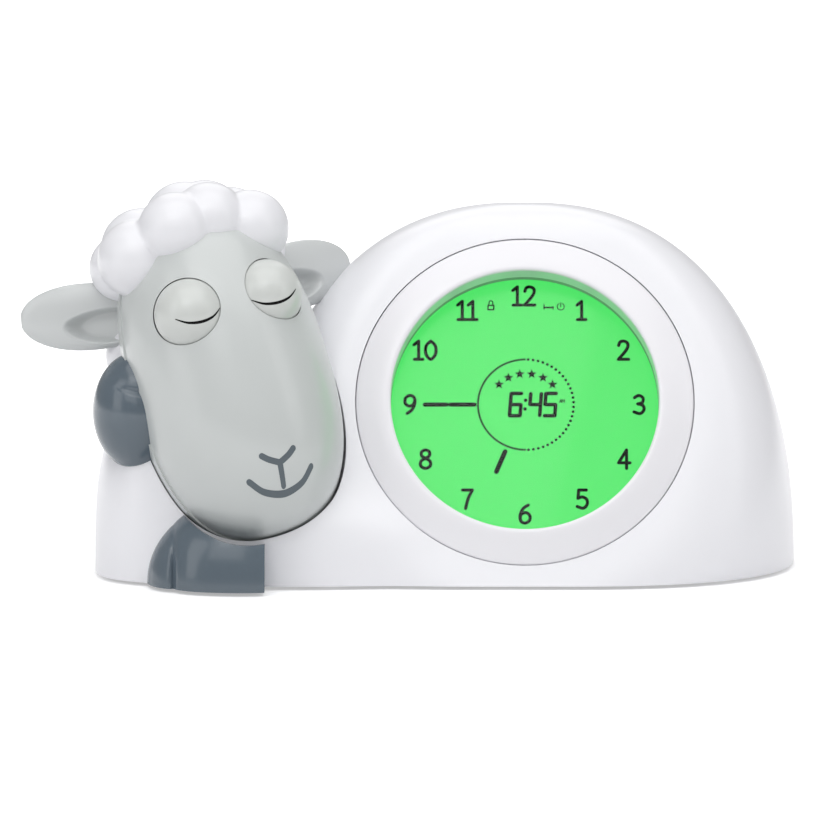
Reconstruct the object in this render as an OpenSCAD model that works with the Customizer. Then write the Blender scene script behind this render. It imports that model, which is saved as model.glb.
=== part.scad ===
/* [Housing] */
// Width of the domed housing at its base
dome_w = 170; // [150:1:200]
// Height of the dome above its base
dome_h = 112; // [106:1:125]
// Depth of the housing from its front edge to its back wall
dome_d = 80; // [76:1:90]
// Lean of the display face from the vertical, in degrees
face_lean = 23.5; // [22:0.5:25]
// Wall thickness of the housing mouldings
wall = 2.4; // [2:0.1:3]
// Depth of the rear cover, from the back wall to its joint with the front shell
cover_depth = 18; // [16:1:20]

/* [Shoulder and foreleg] */
// Half width of the shoulder lump beside the dome
shoulder_a = 39; // [36:1:42]
// Height of the shoulder lump
shoulder_h = 58; // [54:1:60]
// Half length of the lying foreleg
leg_a = 38; // [34:1:40]
// Half thickness of the lying foreleg
leg_r = 13; // [12:0.5:14]
// Height of the lying foreleg
leg_h = 25; // [22:0.5:27]

/* [Display] */
// Distance up the face from the bottom edge to the centre of the dial
dial_up = 59.4; // [58:0.2:62]
// Radius of the recess that holds the bezel ring
dial_seat_r = 52.7; // [50:0.1:54]
// Radius of the clear opening of the bezel ring
window_r = 41.6; // [38:0.1:43]
// Height of the ring's inner edge above the face
ring_proud = 3.25; // [2:0.05:4]
// Depth of the display window below the ring's inner edge
window_deep = 11; // [9:0.5:13]
// Thickness of the clear window
lens_t = 1.5; // [1:0.1:2]
// Thickness of the liquid crystal glass
lcd_t = 2.2; // [1.8:0.1:3]
// Thickness of the light diffuser
diffuser_t = 3; // [2:0.1:4]
// Thickness of the circuit boards
board_t = 1.6; // [1:0.1:2]

/* [Head] */
// Largest radius of the head
head_r = 31; // [29:0.5:32]
// Length of the head from its widest place down to the chin
chin_len = 49; // [46:0.5:50]
// Length of the head from its widest place up to the crown
crown_len = 56; // [52:0.5:60]
// Place of the head's widest section: right, back and up from the dome's bottom front edge
head_at = [-90.5, 20, 59.6];
// Sideways tilt of the head, in degrees
head_roll = 17; // [15:0.5:19]
// Backward lean of the head, in degrees
head_lean = 15; // [12:0.5:18]
// Turn of the face towards the dial, in degrees
head_yaw = 19; // [15:0.5:22]
// Wall thickness of the head mouldings
head_wall = 2.2; // [1.8:0.1:2.6]

/* [Eyes] */
// Radius of the turning eyeballs
eye_r = 11.2; // [10.6:0.1:11.4]
// Half the distance between the centres of the eyeballs
eye_x = 12.5; // [12.3:0.1:12.9]
// Distance of the eye axle in front of the head's long axis
eye_out = 21; // [19.5:0.1:22]
// Height of the eye axle above the head's widest section
eye_up = 22; // [20.5:0.1:23]
// Thickness of the eyelid caps
lid_t = 1.2; // [1:0.1:1.5]
// Radius of the eye axle
axle_r = 1; // [0.8:0.1:1.2]
// Module of the gear teeth
gear_m = 0.5; // [0.48:0.01:0.52]
// Teeth of the gear on the eye axle
eye_teeth = 16; // [14:2:18]
// Teeth of the idler gear
idler_teeth = 36; // [32:4:40]
// Teeth of the motor's pinion
pinion_teeth = 12; // [12:2:14]
// Width of the gears
gear_t = 2; // [1.6:0.1:2]

/* [Keys] */
// Radius of a push key
key_r = 5; // [4:0.1:5.5]
// Travel of a push key
key_travel = 1; // [0.6:0.1:1.2]
// Distance between the columns of keys
key_pitch_x = 18; // [15:0.5:20]
// Distance between the rows of keys
key_pitch_z = 16; // [14:0.5:18]
// Place of the key panel's middle: right of the dome's middle and up from the base
panel_at = [20, 44];
// Travel of a slide switch
switch_travel = 4; // [3:0.5:5]

/* [Power and sound] */
// Diameter of one battery cell
cell_d = 14.2; // [14:0.1:14.5]
// Length of one battery cell
cell_l = 50.5; // [49:0.5:51]
// Radius of the speaker
speaker_r = 18; // [16:0.5:20]
// Place of the speaker's middle: right of the dome's middle and up from the base
speaker_at = [-38, 44];
// How far the rubber feet stand below the base
foot_proud = 1.2; // [1:0.1:2]

/* [Hidden] */

white = [0.95, 0.95, 0.96];
wool = [0.97, 0.97, 0.98];
grey = [0.80, 0.81, 0.80];
slate = [0.40, 0.44, 0.48];
green = [0.43, 0.95, 0.50];
steel = [0.75, 0.76, 0.78];
board_green = [0.10, 0.42, 0.25];
black = [0.12, 0.12, 0.13];

gap = 0.3;
run_fit = 0.05;
far = 400;

// ---- Outer form of the housing -------------------------------------------------------------

dome_full = 2.3;
plan_full = 2.3;
back_full = 5;
shoulder_full = 3.4;
leg_full = 2.5;
blend = 10;
ridge_y = 58;
split_y = dome_d - cover_depth;
ridge_r = 14.2;
ridge_z = dome_h - ridge_r;
pad_half_w = 54.5;
pad_half_h = 62;
shoulder_at = [-95, 45];
shoulder_front = 38;
shoulder_inset = 1;
shoulder_back = dome_d - shoulder_inset - shoulder_at.y;
leg_at = [-75, 13];
body_left = shoulder_at.x - shoulder_a;
body_right = dome_w / 2;

// Height of a superellipse quarter over u in 0..1
function quarter(u, n) = pow(max(0, 1 - pow(min(1, max(0, u)), n)), 1 / n);

// Superellipse measure of a point that is already scaled by its half axes
function measure(p, n) = pow(pow(abs(p[0]), n) + pow(abs(p[1]), n) + pow(abs(p[2]), n), 1 / n);

// Front and back of the dome's middle section at height z, with the wall w taken off
function dome_front(z, w) =
    z < ridge_z + (ridge_r - w) * sin(face_lean)
        ? z * tan(face_lean) + w / cos(face_lean)
        : ridge_y - sqrt(max(0, pow(ridge_r - w, 2) - pow(z - ridge_z, 2)));
function dome_back(z, w) = ridge_y + (dome_d - ridge_y - w) * quarter(z / (dome_h - w), 4);

// Half width of the flat pad round the dial at height z
function pad_half(z) = pad_half_w * quarter(abs(z / cos(face_lean) - dial_up) / pad_half_h, 2);

// Each measure is below 1 inside its form and above 1 outside
function dome_measure(x, y, z, w) =
    z > 0.9999 * (dome_h - w) ? 9 :
    let (
        half = (dome_w / 2 - w) * quarter(z / (dome_h - w), dome_full),
        flat = min(pad_half(z), 0.8 * half)
    )
    y < ridge_y
        ? measure([max(0, abs(x) - flat) / (half - flat),
                   (ridge_y - y) / max(0.01, ridge_y - dome_front(z, w)), 0], plan_full)
        : measure([x / half, (y - ridge_y) / max(0.01, dome_back(z, w) - ridge_y), 0], back_full);
function shoulder_measure(x, y, z, w) =
    let (depth = y < shoulder_at.y ? shoulder_front : shoulder_back)
    measure([(x - shoulder_at.x) / (shoulder_a - w), (y - shoulder_at.y) / (depth - w),
             z / (shoulder_h - w)], shoulder_full);
function leg_measure(x, y, z, w) =
    measure([(x - leg_at.x) / (leg_a - w), (y - leg_at.y) / (leg_r - w), z / (leg_h - w)], leg_full);
function body_measure(x, y, z, w) =
    pow(pow(max(0.1, dome_measure(x, y, z, w)), -blend)
        + pow(max(0.1, shoulder_measure(x, y, z, w)), -blend)
        + pow(max(0.1, leg_measure(x, y, z, w)), -blend), -1 / blend);

// The section at each x is found along rays that fan out from a core line on the base
function core_y(x) =
    shoulder_at.y + (ridge_y - shoulder_at.y) * min(1, max(0, (x + dome_w / 2) / 45));
function reach(x, fwd, up, w, low, high, steps) =
    steps == 0 ? (low + high) / 2 :
    let (mid = (low + high) / 2)
    body_measure(x, core_y(x) - mid * fwd, mid * up, w) < 1
        ? reach(x, fwd, up, w, mid, high, steps - 1)
        : reach(x, fwd, up, w, low, mid, steps - 1);
function fan_angle(t) = 90 + 90 * sign(t) * pow(abs(t), 1.5);
function body_section(x, w, skirt, rays) =
    let (
        arc = [for (i = [rays:-1:0])
            let (a = fan_angle(2 * i / rays - 1), r = reach(x, cos(a), sin(a), w, 0, 160, 26))
            [x, core_y(x) - r * cos(a), r * sin(a)]]
    )
    concat([[x, core_y(x), -skirt]],
           skirt > 0 ? [[x, arc[0].y, -skirt]] : [], arc,
           skirt > 0 ? [[x, arc[rays].y, -skirt]] : []);

// Solid through a list of rings, each with the same number of points
module loft(rings) {
    n = len(rings[0]);
    last = (len(rings) - 1) * n;
    polyhedron(
        points = [for (ring = rings) each ring],
        faces = concat(
            [[for (i = [0:n - 1]) i]],
            [for (j = [0:len(rings) - 2], i = [0:n - 1])
                let (a = j * n + i, b = j * n + (i + 1) % n)
                each [[a, a + n, b + n], [a, b + n, b]]],
            [[last, for (i = [n - 1:-1:1]) last + i]]
        )
    );
}

// The housing's outer form, or with w > 0 the form inside a wall of that thickness
module body_form(w = 0, skirt = 0, stations = 34, rays = 26, from = body_left, to = body_right) {
    mid = (from + to) / 2;
    half = (to - from) / 2 - (from == body_left ? w + 0.05 : 0);
    loft([for (i = [0:stations])
        body_section(mid - half * cos(180 * (0.01 + 0.98 * i / stations)), w, skirt, rays)]);
}

// Distance from the core line to the form's surface at height z, forwards or backwards
function reach_at(x, fwd, z, w, low, high, steps) =
    steps == 0 ? (low + high) / 2 :
    let (mid = (low + high) / 2)
    body_measure(x, core_y(x) - mid * fwd, z, w) < 1
        ? reach_at(x, fwd, z, w, mid, high, steps - 1)
        : reach_at(x, fwd, z, w, low, mid, steps - 1);

// Outline of the housing at height z, inside a wall of thickness w
function plan_points(w, z, stations) =
    let (
        mid = (body_left + body_right) / 2,
        half = (body_right - body_left) / 2 - w - 0.05,
        xs = [for (i = [0:stations]) mid - half * cos(180 * (0.01 + 0.98 * i / stations))]
    )
    concat(
        [for (x = xs) [x, core_y(x) - reach_at(x, 1, z, w, 0, 160, 20)]],
        [for (i = [stations:-1:0]) [xs[i], core_y(xs[i]) + reach_at(xs[i], -1, z, w, 0, 160, 20)]]
    );

// ---- Placing ------------------------------------------------------------------------------

ear_tip_x = -156.5;
chin_front_y = -13.6;

// From the dome's bottom front edge to the middle of the whole object, standing on its feet
module placed()
    translate([-(ear_tip_x + body_right) / 2, -(chin_front_y + dome_d) / 2, foot_proud])
        children();

// Onto the dial: x to the right, y up the face, z out of it, with the origin at the dial's centre
module on_dial()
    rotate([90 - face_lean, 0, 0])
        translate([0, dial_up, 0])
            children();

// Into the head: -y out of the face, z up to the crown, with the origin at the widest section
module in_head()
    translate(head_at)
        rotate([0, -head_roll, 0])
            rotate([-head_lean, 0, 0])
                rotate([0, 0, head_yaw])
                    children();

// Onto the back wall: z points out of the back, at place p right and up
module on_back(p, y)
    translate([p[0], y, p[1]])
        rotate([-90, 0, 0])
            children();

// ---- Head form ----------------------------------------------------------------------------

head_full = 2.45;
head_steps = 22;

// Half outline of the head, grown by g all round
function head_outline(g, steps) = [
    for (i = [0:steps])
        let (
            a = -90 + 180 * i / steps,
            len = a < 0 ? chin_len : crown_len,
            up = pow(abs(sin(a)), 2 / head_full),
            out = i == 0 || i == steps ? 0 : pow(cos(a), 2 / head_full)
        )
        [(head_r + g) * out, sign(a) * (len + g) * up]
];
module head_solid(g = 0)
    rotate_extrude()
        polygon(head_outline(g, head_steps));

// The same form with flat sides, just large enough to clear the head by g
module head_clearance(g, around = 16, steps = 10) {
    profile = head_outline(g, steps);
    wide = 1 / cos(180 / around);
    in_head()
        loft([for (i = [0:steps])
            let (r = max(1, profile[i][0] * wide + 0.4))
            [for (k = [0:around - 1])
                [r * cos(360 * k / around), r * sin(360 * k / around), profile[i][1] * 1.01]]]);
}

// ---- Housing ------------------------------------------------------------------------------

seat_deep = 2.5;
pad_t = 5.5;
pad_r = dial_seat_r + 3;
tube_t = 2;
bezel_hole_r = window_r + tube_t + gap;
boss_r = 4.5;
screw_r = 1.5;
screw_head_r = 2.8;
screw_head_t = 1.8;
boss_places = [[70, 20], [-68, 18], [38, 92], [-38, 92], [-118, 22]];
base_t = 2.4;
plate_gap = 0.8;
base_bosses = [[-60, 6.5], [61.5, 18], [10, dome_d - wall - boss_r + 0.1],
               [-112, dome_d - boss_r - 3.5]];
panel_w = 2 * key_pitch_x + 24;
panel_h = 52;
panel_deep = 2.4;
panel_t = 2.4;
panel_y = dome_d - panel_deep;
panel_low = panel_at[1] - panel_h / 2;
key_rows = [key_pitch_z / 2 + 6, -key_pitch_z / 2 + 6];
switch_drop = -17;
switch_x = 11;
speaker_seat_y = dome_d - 4;
usb_at = [-14, 13];
usb_w = 9;
usb_h = 4.4;

module boss_pegs()
    for (p = boss_places)
        on_back(p, 0)
            cylinder(r = boss_r, h = dome_d);

module base_pegs()
    for (p = base_bosses)
        translate([p[0], p[1], 0])
            cylinder(r = boss_r, h = 14);

module board_posts()
    for (p = board_post_places)
        on_back(p, key_board_y + board_t)
            cylinder(r = 3, h = 20);

// Everything inside the housing's walls that isn't plastic
module housing_void()
    difference() {
        body_form(wall, 1, 22, 14);
        head_clearance(gap + back_grow + wall);
        on_dial()
            translate([0, 0, -pad_t])
                cylinder(r = pad_r, h = pad_t + 2);
        boss_pegs();
        board_posts();
        translate([0, 0, base_t + 2 * gap])
            base_pegs();
        translate([panel_at[0] - panel_w / 2 - wall, panel_y - panel_t, panel_low - wall])
            cube([panel_w + 2 * wall, 20, panel_h + 2 * wall]);
        on_back(speaker_at, speaker_seat_y)
            cylinder(r = speaker_r + 2, h = 20);
        translate([usb_at[0] - usb_w, dome_d - wall - 2, usb_at[1] - usb_h])
            cube([2 * usb_w, 10, 2 * usb_h]);
    }

module front_shell()
    color(white)
        difference() {
            body_form();
            housing_void();
            translate([-far / 2, split_y, -1])
                cube([far, far, far]);
            head_clearance(gap + back_grow);
            on_dial() {
                translate([0, 0, -seat_deep])
                    cylinder(r = dial_seat_r, h = far);
                translate([0, 0, -far / 4])
                    cylinder(r = bezel_hole_r, h = far / 2);
            }
            for (p = boss_places)
                on_back(p, split_y - 12)
                    cylinder(r = screw_r - 0.2, h = 20);
            for (p = base_bosses)
                translate([p[0], p[1], 0])
                    cylinder(r = screw_r - 0.2, h = 11);
            neck_places()
                cylinder(r = screw_r + 0.2, h = 20, center = true);
            frame_screw_places()
                cylinder(r = screw_r - 0.2, h = 3);
        }

module rear_cover()
    color(white)
        difference() {
            body_form();
            housing_void();
            translate([-far / 2, split_y + 0.01 - far, -1])
                cube([far, far, far]);
            head_clearance(gap + back_grow);
            for (p = boss_places) {
                on_back(p, split_y - 1)
                    cylinder(r = screw_r + 0.2, h = far);
                on_back(p, split_y + 5)
                    cylinder(r = screw_head_r + gap, h = far);
            }
            for (p = base_bosses)
                translate([p[0], p[1], 0])
                    cylinder(r = screw_r - 0.2, h = 11);
            for (p = board_post_places)
                on_back(p, key_board_y)
                    cylinder(r = screw_r - 0.5, h = 6);
            translate([panel_at[0] - panel_w / 2, panel_y, panel_low])
                cube([panel_w, 20, panel_h]);
            for (p = key_places)
                on_back(p, panel_y - panel_t - 1)
                    cylinder(r = key_r + gap, h = 10);
            for (p = switch_places)
                translate([p[0] - switch_slot_w / 2, panel_y - panel_t - 1, p[1] - switch_slot_h / 2])
                    cube([switch_slot_w, 10, switch_slot_h]);
            for (x = [-speaker_r + 3:3.6:speaker_r - 3])
                let (half = sqrt(pow(speaker_r - 2, 2) - x * x))
                translate([speaker_at[0] + x - 0.9, speaker_seat_y - 1, speaker_at[1] - half])
                    cube([1.8, 20, 2 * half]);
            translate([usb_at[0] - usb_w / 2 - gap, dome_d - 20, usb_at[1] - usb_h / 2 - gap])
                cube([usb_w + 2 * gap, 40, usb_h + 2 * gap]);
        }

// ---- Base ---------------------------------------------------------------------------------

bay_wall = 1.6;
cell_gap = 0.4;
bay_x = 2 * cell_l + 8;
bay_y = 2 * cell_d + 3 * cell_gap;
bay_at = [0, 48];
cell_z = base_t + gap + cell_gap + cell_d / 2;
bay_top = cell_z + cell_d / 2 + cell_gap;
door_t = 2;
door_lip = 2;
foot_r = 5;
foot_deep = 1.2;
foot_inset = 14;
foot_back_y = dome_d - foot_inset;
foot_places = [[-112, 22], [-100, foot_back_y], [72, 36], [72, foot_back_y]];
door_tail = 8;
door_screw_at = [bay_x / 2 + 5, bay_at[1]];

module base_plate()
    color(white)
        difference() {
            union() {
                translate([0, 0, gap])
                    linear_extrude(base_t)
                        polygon(plan_points(wall + plate_gap, base_t + gap, 22));
                translate([-bay_x / 2 - bay_wall, bay_at[1] - bay_y / 2 - bay_wall, gap])
                    cube([bay_x + 2 * bay_wall, bay_y + 2 * bay_wall, bay_top + bay_wall - gap]);
                translate([door_screw_at[0], door_screw_at[1], gap])
                    cylinder(r = boss_r, h = 9);
            }
            translate([-bay_x / 2, bay_at[1] - bay_y / 2, -1])
                cube([bay_x, bay_y, bay_top + 1]);
            translate([-bay_x / 2 - 2 * door_lip - gap, bay_at[1] - bay_y / 2 - door_lip - gap, -1])
                cube([bay_x + 4 * door_lip + door_tail + 2 * gap, bay_y + 2 * door_lip + 2 * gap,
                      1 + gap + door_t + 0.1]);
            for (p = foot_places)
                translate([p[0], p[1], -1])
                    cylinder(r = foot_r + 0.1, h = 1 + gap + foot_deep);
            for (p = base_bosses)
                translate([p[0], p[1], -1]) {
                    cylinder(r = screw_r + 0.2, h = 10);
                    cylinder(r = screw_head_r + gap, h = 1 + gap + 1);
                }
            translate([door_screw_at[0], door_screw_at[1], 0])
                cylinder(r = screw_r - 0.2, h = 8);
            on_dial()
                translate([0, 0, -pad_t - gap])
                    cylinder(r = pad_r + gap, h = 2 * pad_t);
        }

module battery_door()
    color(white)
        difference() {
            translate([-bay_x / 2 - 2 * door_lip, bay_at[1] - bay_y / 2 - door_lip, gap])
                cube([bay_x + 4 * door_lip + door_tail, bay_y + 2 * door_lip, door_t]);
            translate([door_screw_at[0], door_screw_at[1], -1]) {
                cylinder(r = screw_r + 0.2, h = 10);
                cylinder(r = screw_head_r + gap, h = 1 + gap + 1);
            }
        }

module door_screw()
    color(steel)
        translate([door_screw_at[0], door_screw_at[1], gap + 0.2]) {
            cylinder(r = screw_head_r, h = 0.8);
            cylinder(r = screw_r - 0.25, h = 6);
        }

module rubber_feet()
    color(black)
        for (p = foot_places)
            translate([p[0], p[1], -foot_proud])
                rotate_extrude()
                    polygon([[0, 0], [foot_r - 0.6, 0], [foot_r, 0.6],
                             [foot_r, foot_proud + gap + foot_deep], [0, foot_proud + gap + foot_deep]]);

module screw(len)
    rotate_extrude()
        polygon([[0, 0], [screw_head_r, 0], [screw_head_r, screw_head_t * 0.6], [screw_r, screw_head_t],
                 [screw_r - 0.25, screw_head_t], [screw_r - 0.25, len], [0, len]]);

module housing_screws()
    color(steel) {
        for (p = boss_places)
            translate([p[0], split_y + 5 + screw_head_t + 0.02, p[1]])
                rotate([90, 0, 0])
                    screw(16);
        for (p = base_bosses)
            translate([p[0], p[1], gap + 0.2]) {
                cylinder(r = screw_head_r, h = 0.8);
                cylinder(r = screw_r - 0.25, h = 10);
            }
    }

// ---- Display ------------------------------------------------------------------------------

window_w = ring_proud - window_deep;
lens_back = window_w - lens_t;
lcd_back = lens_back - lcd_t - 0.1;
diffuser_back = lcd_back - diffuser_t - 0.1;
stack_r = window_r + tube_t + 0.4;
frame_r = stack_r + 0.2;
flange_r = frame_r + 7.4;
lamp_deep = 4;
board_w = diffuser_back - lamp_deep;
led_t = 1.2;

module bezel_ring()
    color(white)
        on_dial()
            rotate_extrude()
                polygon([
                    [dial_seat_r - gap, -seat_deep], [dial_seat_r - gap, -0.2],
                    [dial_seat_r - gap - 0.4, 0.15], [dial_seat_r - 4, 1.35],
                    [window_r + 4, ring_proud - 0.35], [window_r + 1.4, ring_proud],
                    [window_r + 0.5, ring_proud - 0.2], [window_r, ring_proud - 0.8],
                    [window_r, window_w], [window_r + tube_t, window_w],
                    [window_r + tube_t, -seat_deep]
                ]);

module display_disc(front, t)
    on_dial()
        translate([0, 0, front - t])
            cylinder(r = stack_r, h = t);

module display_lens()
    color([0.85, 0.95, 0.9, 0.4])
        display_disc(window_w, lens_t);

module lcd_panel()
    color(green)
        display_disc(lens_back - 0.1, lcd_t);

module diffuser()
    color([0.95, 1, 0.96])
        display_disc(lcd_back - 0.1, diffuser_t);

module lcd_frame()
    color(white)
        on_dial() {
            difference() {
                rotate_extrude()
                    polygon([
                        [frame_r, -pad_t], [flange_r, -pad_t], [flange_r, -pad_t - 2],
                        [frame_r + 1.8, -pad_t - 2], [frame_r + 1.8, board_w],
                        [stack_r - 2, board_w], [stack_r - 2, diffuser_back],
                        [frame_r, diffuser_back]
                    ]);
                for (a = [45:90:315])
                    rotate(a)
                        translate([frame_r + 5, 0, -pad_t - 3])
                            cylinder(r = screw_r + 0.1, h = 4);
            }
        }

// From the back of the pad towards the face, at each screw of the display frame
module frame_screw_places()
    on_dial()
        for (a = [45:90:315])
            rotate(a)
                translate([frame_r + 5, 0, -pad_t - 0.5])
                    children();

module board_screws()
    color(steel) {
        frame_screw_places()
            translate([0, 0, -1.5 - screw_head_t])
                screw(5.5);
        for (p = board_post_places)
            on_back(p, key_board_y - 1)
                union() {
                    cylinder(r = 2, h = 0.98);
                    cylinder(r = screw_r - 0.55, h = 6);
                }
    }

module main_pcb()
    color(board_green)
        on_dial()
            translate([0, 0, board_w - board_t]) {
                cylinder(r = stack_r, h = board_t);
                translate([-8, -6, -1.4])
                    cube([14, 14, 1.41]);
                for (x = [-24, 18])
                    translate([x, 12, 0.01])
                        mirror([0, 0, 1])
                            cylinder(r = 3, h = 6);
            }

module light_leds()
    color([1, 1, 0.85])
        on_dial()
            for (r = [14, 32], a = [0:45:315])
                rotate(a)
                    translate([r, 0, board_w + led_t / 2])
                        cube([3.5, 2.8, led_t], center = true);

// ---- Keys and switches --------------------------------------------------------------------

key_places = [for (z = key_rows, i = [-1:1]) [panel_at[0] + i * key_pitch_x, panel_at[1] + z]];
switch_places = [for (s = [-1, 1]) [panel_at[0] + s * switch_x, panel_at[1] + switch_drop]];
key_proud = 1.5;
key_flange_t = 1;
key_back = panel_y - panel_t - gap - key_flange_t;
nub_t = 0.5;
switch_gap = key_travel + 0.05;
tact_t = 2.4;
key_board_y = key_back - nub_t - switch_gap - tact_t - board_t;
switch_knob_w = 4;
switch_knob_h = 2.4;
switch_slot_w = switch_knob_w + switch_travel + 2 * gap;
switch_slot_h = switch_knob_h + 2 * gap;
switch_body_t = panel_y - panel_t - 1.2 - key_board_y - board_t;
board_post_places = [for (sx = [-1, 1], sz = [-1, 1])
    [panel_at[0] + sx * (panel_w / 2 - 4), panel_at[1] + sz * (panel_h / 2 - 4)]];

module key(i)
    color(white)
        on_back(key_places[i], key_back)
            rotate_extrude()
                polygon([
                    [0, -nub_t], [1.2, -nub_t], [1.2, 0], [key_r + 1.2, 0], [key_r + 1.2, key_flange_t],
                    [key_r, key_flange_t], [key_r, key_flange_t + gap + panel_t + key_proud - 0.5],
                    [key_r - 0.5, key_flange_t + gap + panel_t + key_proud],
                    [0, key_flange_t + gap + panel_t + key_proud - 0.3]
                ]);

module key_set() key(0);
module key_alarm() key(1);
module key_nap() key(2);
module key_light() key(3);
module key_plus() key(4);
module key_minus() key(5);

module key_pcb()
    color(board_green)
        difference() {
            translate([panel_at[0] - panel_w / 2 + 1, key_board_y, panel_low + 1])
                cube([panel_w - 2, board_t, panel_h - 2]);
            for (p = board_post_places)
                on_back(p, key_board_y - 1)
                    cylinder(r = screw_r - 0.3, h = 5);
        }

module tact_switches()
    color(black)
        for (p = key_places) {
            translate([p[0] - 3, key_board_y + board_t, p[1] - 3])
                cube([6, tact_t - 0.6, 6]);
            on_back(p, key_board_y + board_t + tact_t - 0.61)
                cylinder(r = 1.7, h = 0.61);
        }

module switch_bodies()
    color(steel)
        for (p = switch_places)
            translate([p[0] - 5, key_board_y + board_t, p[1] - 3])
                cube([10, switch_body_t, 6]);

module slider(i)
    color(slate)
        translate([switch_places[i][0] - switch_knob_w / 2 - switch_travel / 2, 0,
                   switch_places[i][1] - switch_knob_h / 2])
            translate([0, key_board_y + board_t + switch_body_t + 0.02, 0])
                cube([switch_knob_w, panel_y + 1.2 - key_board_y - board_t - switch_body_t, switch_knob_h]);

module power_slider() slider(0);
module lock_slider() slider(1);

// ---- Sound and power ----------------------------------------------------------------------

module speaker()
    color(black)
        on_back(speaker_at, speaker_seat_y - gap)
            rotate([180, 0, 0])
                rotate_extrude()
                    polygon([
                        [0, 2.5], [5, 3], [speaker_r - 2.5, 0.8], [speaker_r - 2, 0], [speaker_r, 0],
                        [speaker_r, 2], [speaker_r - 2, 2.4], [speaker_r * 0.55, 7], [speaker_r * 0.5, 7],
                        [speaker_r * 0.5, 12], [0, 12]
                    ]);

module usb_socket()
    color(steel)
        translate([usb_at[0] - usb_w / 2, dome_d - wall - 6, usb_at[1] - usb_h / 2])
            difference() {
                cube([usb_w, 6, usb_h]);
                translate([0.6, 0.6, 0.6])
                    cube([usb_w - 1.2, 10, usb_h - 1.2]);
            }

module batteries()
    color(slate)
        for (sx = [-1, 1], sy = [-1, 1])
            translate([sx * (cell_l / 2 + 0.5), bay_at[1] + sy * (cell_d + cell_gap) / 2, cell_z])
                rotate([0, sx * sy * 90, 0])
                    translate([0, 0, -cell_l / 2])
                        rotate_extrude()
                            polygon([[0, 0], [cell_d / 2, 0], [cell_d / 2, cell_l - 1.5],
                                     [2.7, cell_l - 1.5], [2.7, cell_l], [0, cell_l]]);

module battery_contacts()
    color(steel)
        for (sx = [-1, 1], sy = [-1, 1])
            translate([sx * (bay_x / 2 - 0.4) - 0.25, bay_at[1] + sy * (cell_d + cell_gap) / 2 - 5, cell_z - 5])
                cube([0.5, 10, 10]);

// ---- Head ---------------------------------------------------------------------------------

back_grow = 0.5;
neck_x = 6;
neck_y = head_r + 4.3;
neck_z = -15;
ear_root = [19, 9, 30.5];
ear_back = 22;
ear_rise = [14, 3];

module eye_centres()
    for (s = [-1, 1])
        translate([s * eye_x, -eye_out, eye_up])
            children();

module head_shell(g)
    difference() {
        head_solid(g);
        rotate_extrude()
            polygon(head_outline(-head_wall, head_steps));
    }

module face_shell()
    color(grey)
        in_head()
            difference() {
                head_shell(0);
                translate([-far / 2, 0, -far / 2])
                    cube(far);
                eye_centres()
                    sphere(r = eye_r + gap);
            }

// From outside the head inwards, at each screw that holds the head to the shoulder
module neck_places()
    in_head()
        for (s = [-1, 1])
            translate([s * neck_x, neck_y, neck_z])
                rotate([90, 0, 0])
                    children();

module head_back()
    color(wool)
        difference() {
            in_head() {
                head_shell(back_grow);
                intersection() {
                    head_solid();
                    for (s = [-1, 1]) {
                        translate([s * bracket_screw_x, foot_y + foot_t, bracket_z])
                            rotate([-90, 0, 0])
                                cylinder(r = 3, h = 20);
                        translate([s * neck_x, 20, neck_z])
                            rotate([-90, 0, 0])
                                cylinder(r = 3.5, h = 20);
                    }
                }
            }
            in_head() {
                translate([-far / 2, 0.02 - far, -far / 2])
                    cube(far);
                for (s = [-1, 1]) {
                    translate([s * bracket_screw_x, foot_y, bracket_z])
                        rotate([-90, 0, 0])
                            cylinder(r = 0.8, h = 9);
                    translate([s * neck_x, 19, neck_z])
                        rotate([-90, 0, 0])
                            cylinder(r = screw_r - 0.2, h = 20);
                }
            }
            for (s = [-1, 1])
                ear_pin(s, ear_pin_r + 0.1);
        }

// Lobes of wool in rows round the head: height, distance out from the head, radius and bearings
curl_rows = [
    [48, 3, 9, [-76]],
    [48, 2.5, 9, [60]],
    [51, 4, 8.5, [-28, 20]],
    [47, 5, 8.5, [-104]],
    [52, 2, 9.5, [-98, 104, 152, 204]],
    [56, 7, 9, [70]],
    [57, 0, 9.5, [0]],
    [44, -0.5, 9, [110]],
    [44, 2, 9.5, [142, 176, 212]],
    [30, -2.5, 9, [128]],
    [32, 1.5, 9.5, [-124, 154, 184, 214]],
    [19, 1, 9, [148, 188, 222]],
    [21, -2, 7.5, [-112]]
];
wool_base = 3.2;
wool_core_z = 22;
curl_sink = 3.5;
hairline = 28.6;
hair_lean = 36.3;

// Radius of the head at height z above its widest section
function head_at_height(z) = head_r * quarter(abs(z) / (z < 0 ? chin_len : crown_len), head_full);

// Each lobe is set in towards the wool's core and enlarged by as much, which keeps its creases shallow
module curls()
    for (row = curl_rows, bearing = row[3])
        let (
            out = max(0, head_at_height(row[0]) + row[1]),
            from_core = [out * sin(bearing), -out * cos(bearing), row[0] - wool_core_z]
        )
        translate([0, 0, wool_core_z] + from_core * (1 - curl_sink / norm(from_core)))
            sphere(r = row[2] + curl_sink);

module wool_cap()
    color(wool)
        difference() {
            in_head() {
                curls();
                intersection() {
                    head_solid(wool_base);
                    translate([0, 0, hairline])
                        rotate([-hair_lean, 0, 0])
                            translate([-far / 2, -far / 2, 0])
                                cube(far);
                }
            }
            head_clearance(gap + back_grow);
            for (s = [-1, 1])
                ear_place(s)
                    ear_form(2 * gap, 16, 8, 0);
            translate(high_hoof_at)
                egg(high_hoof + gap * [1, 1, 1]);
            body_form(-0.8, 0, 14, 14, -126, -36);
        }

ear_len = 38;
ear_half_h = 10.5;
ear_half_t = 5;
ear_pin_r = 2.2;
ear_pin_in = 4;
ear_pin_out = 18;

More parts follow.
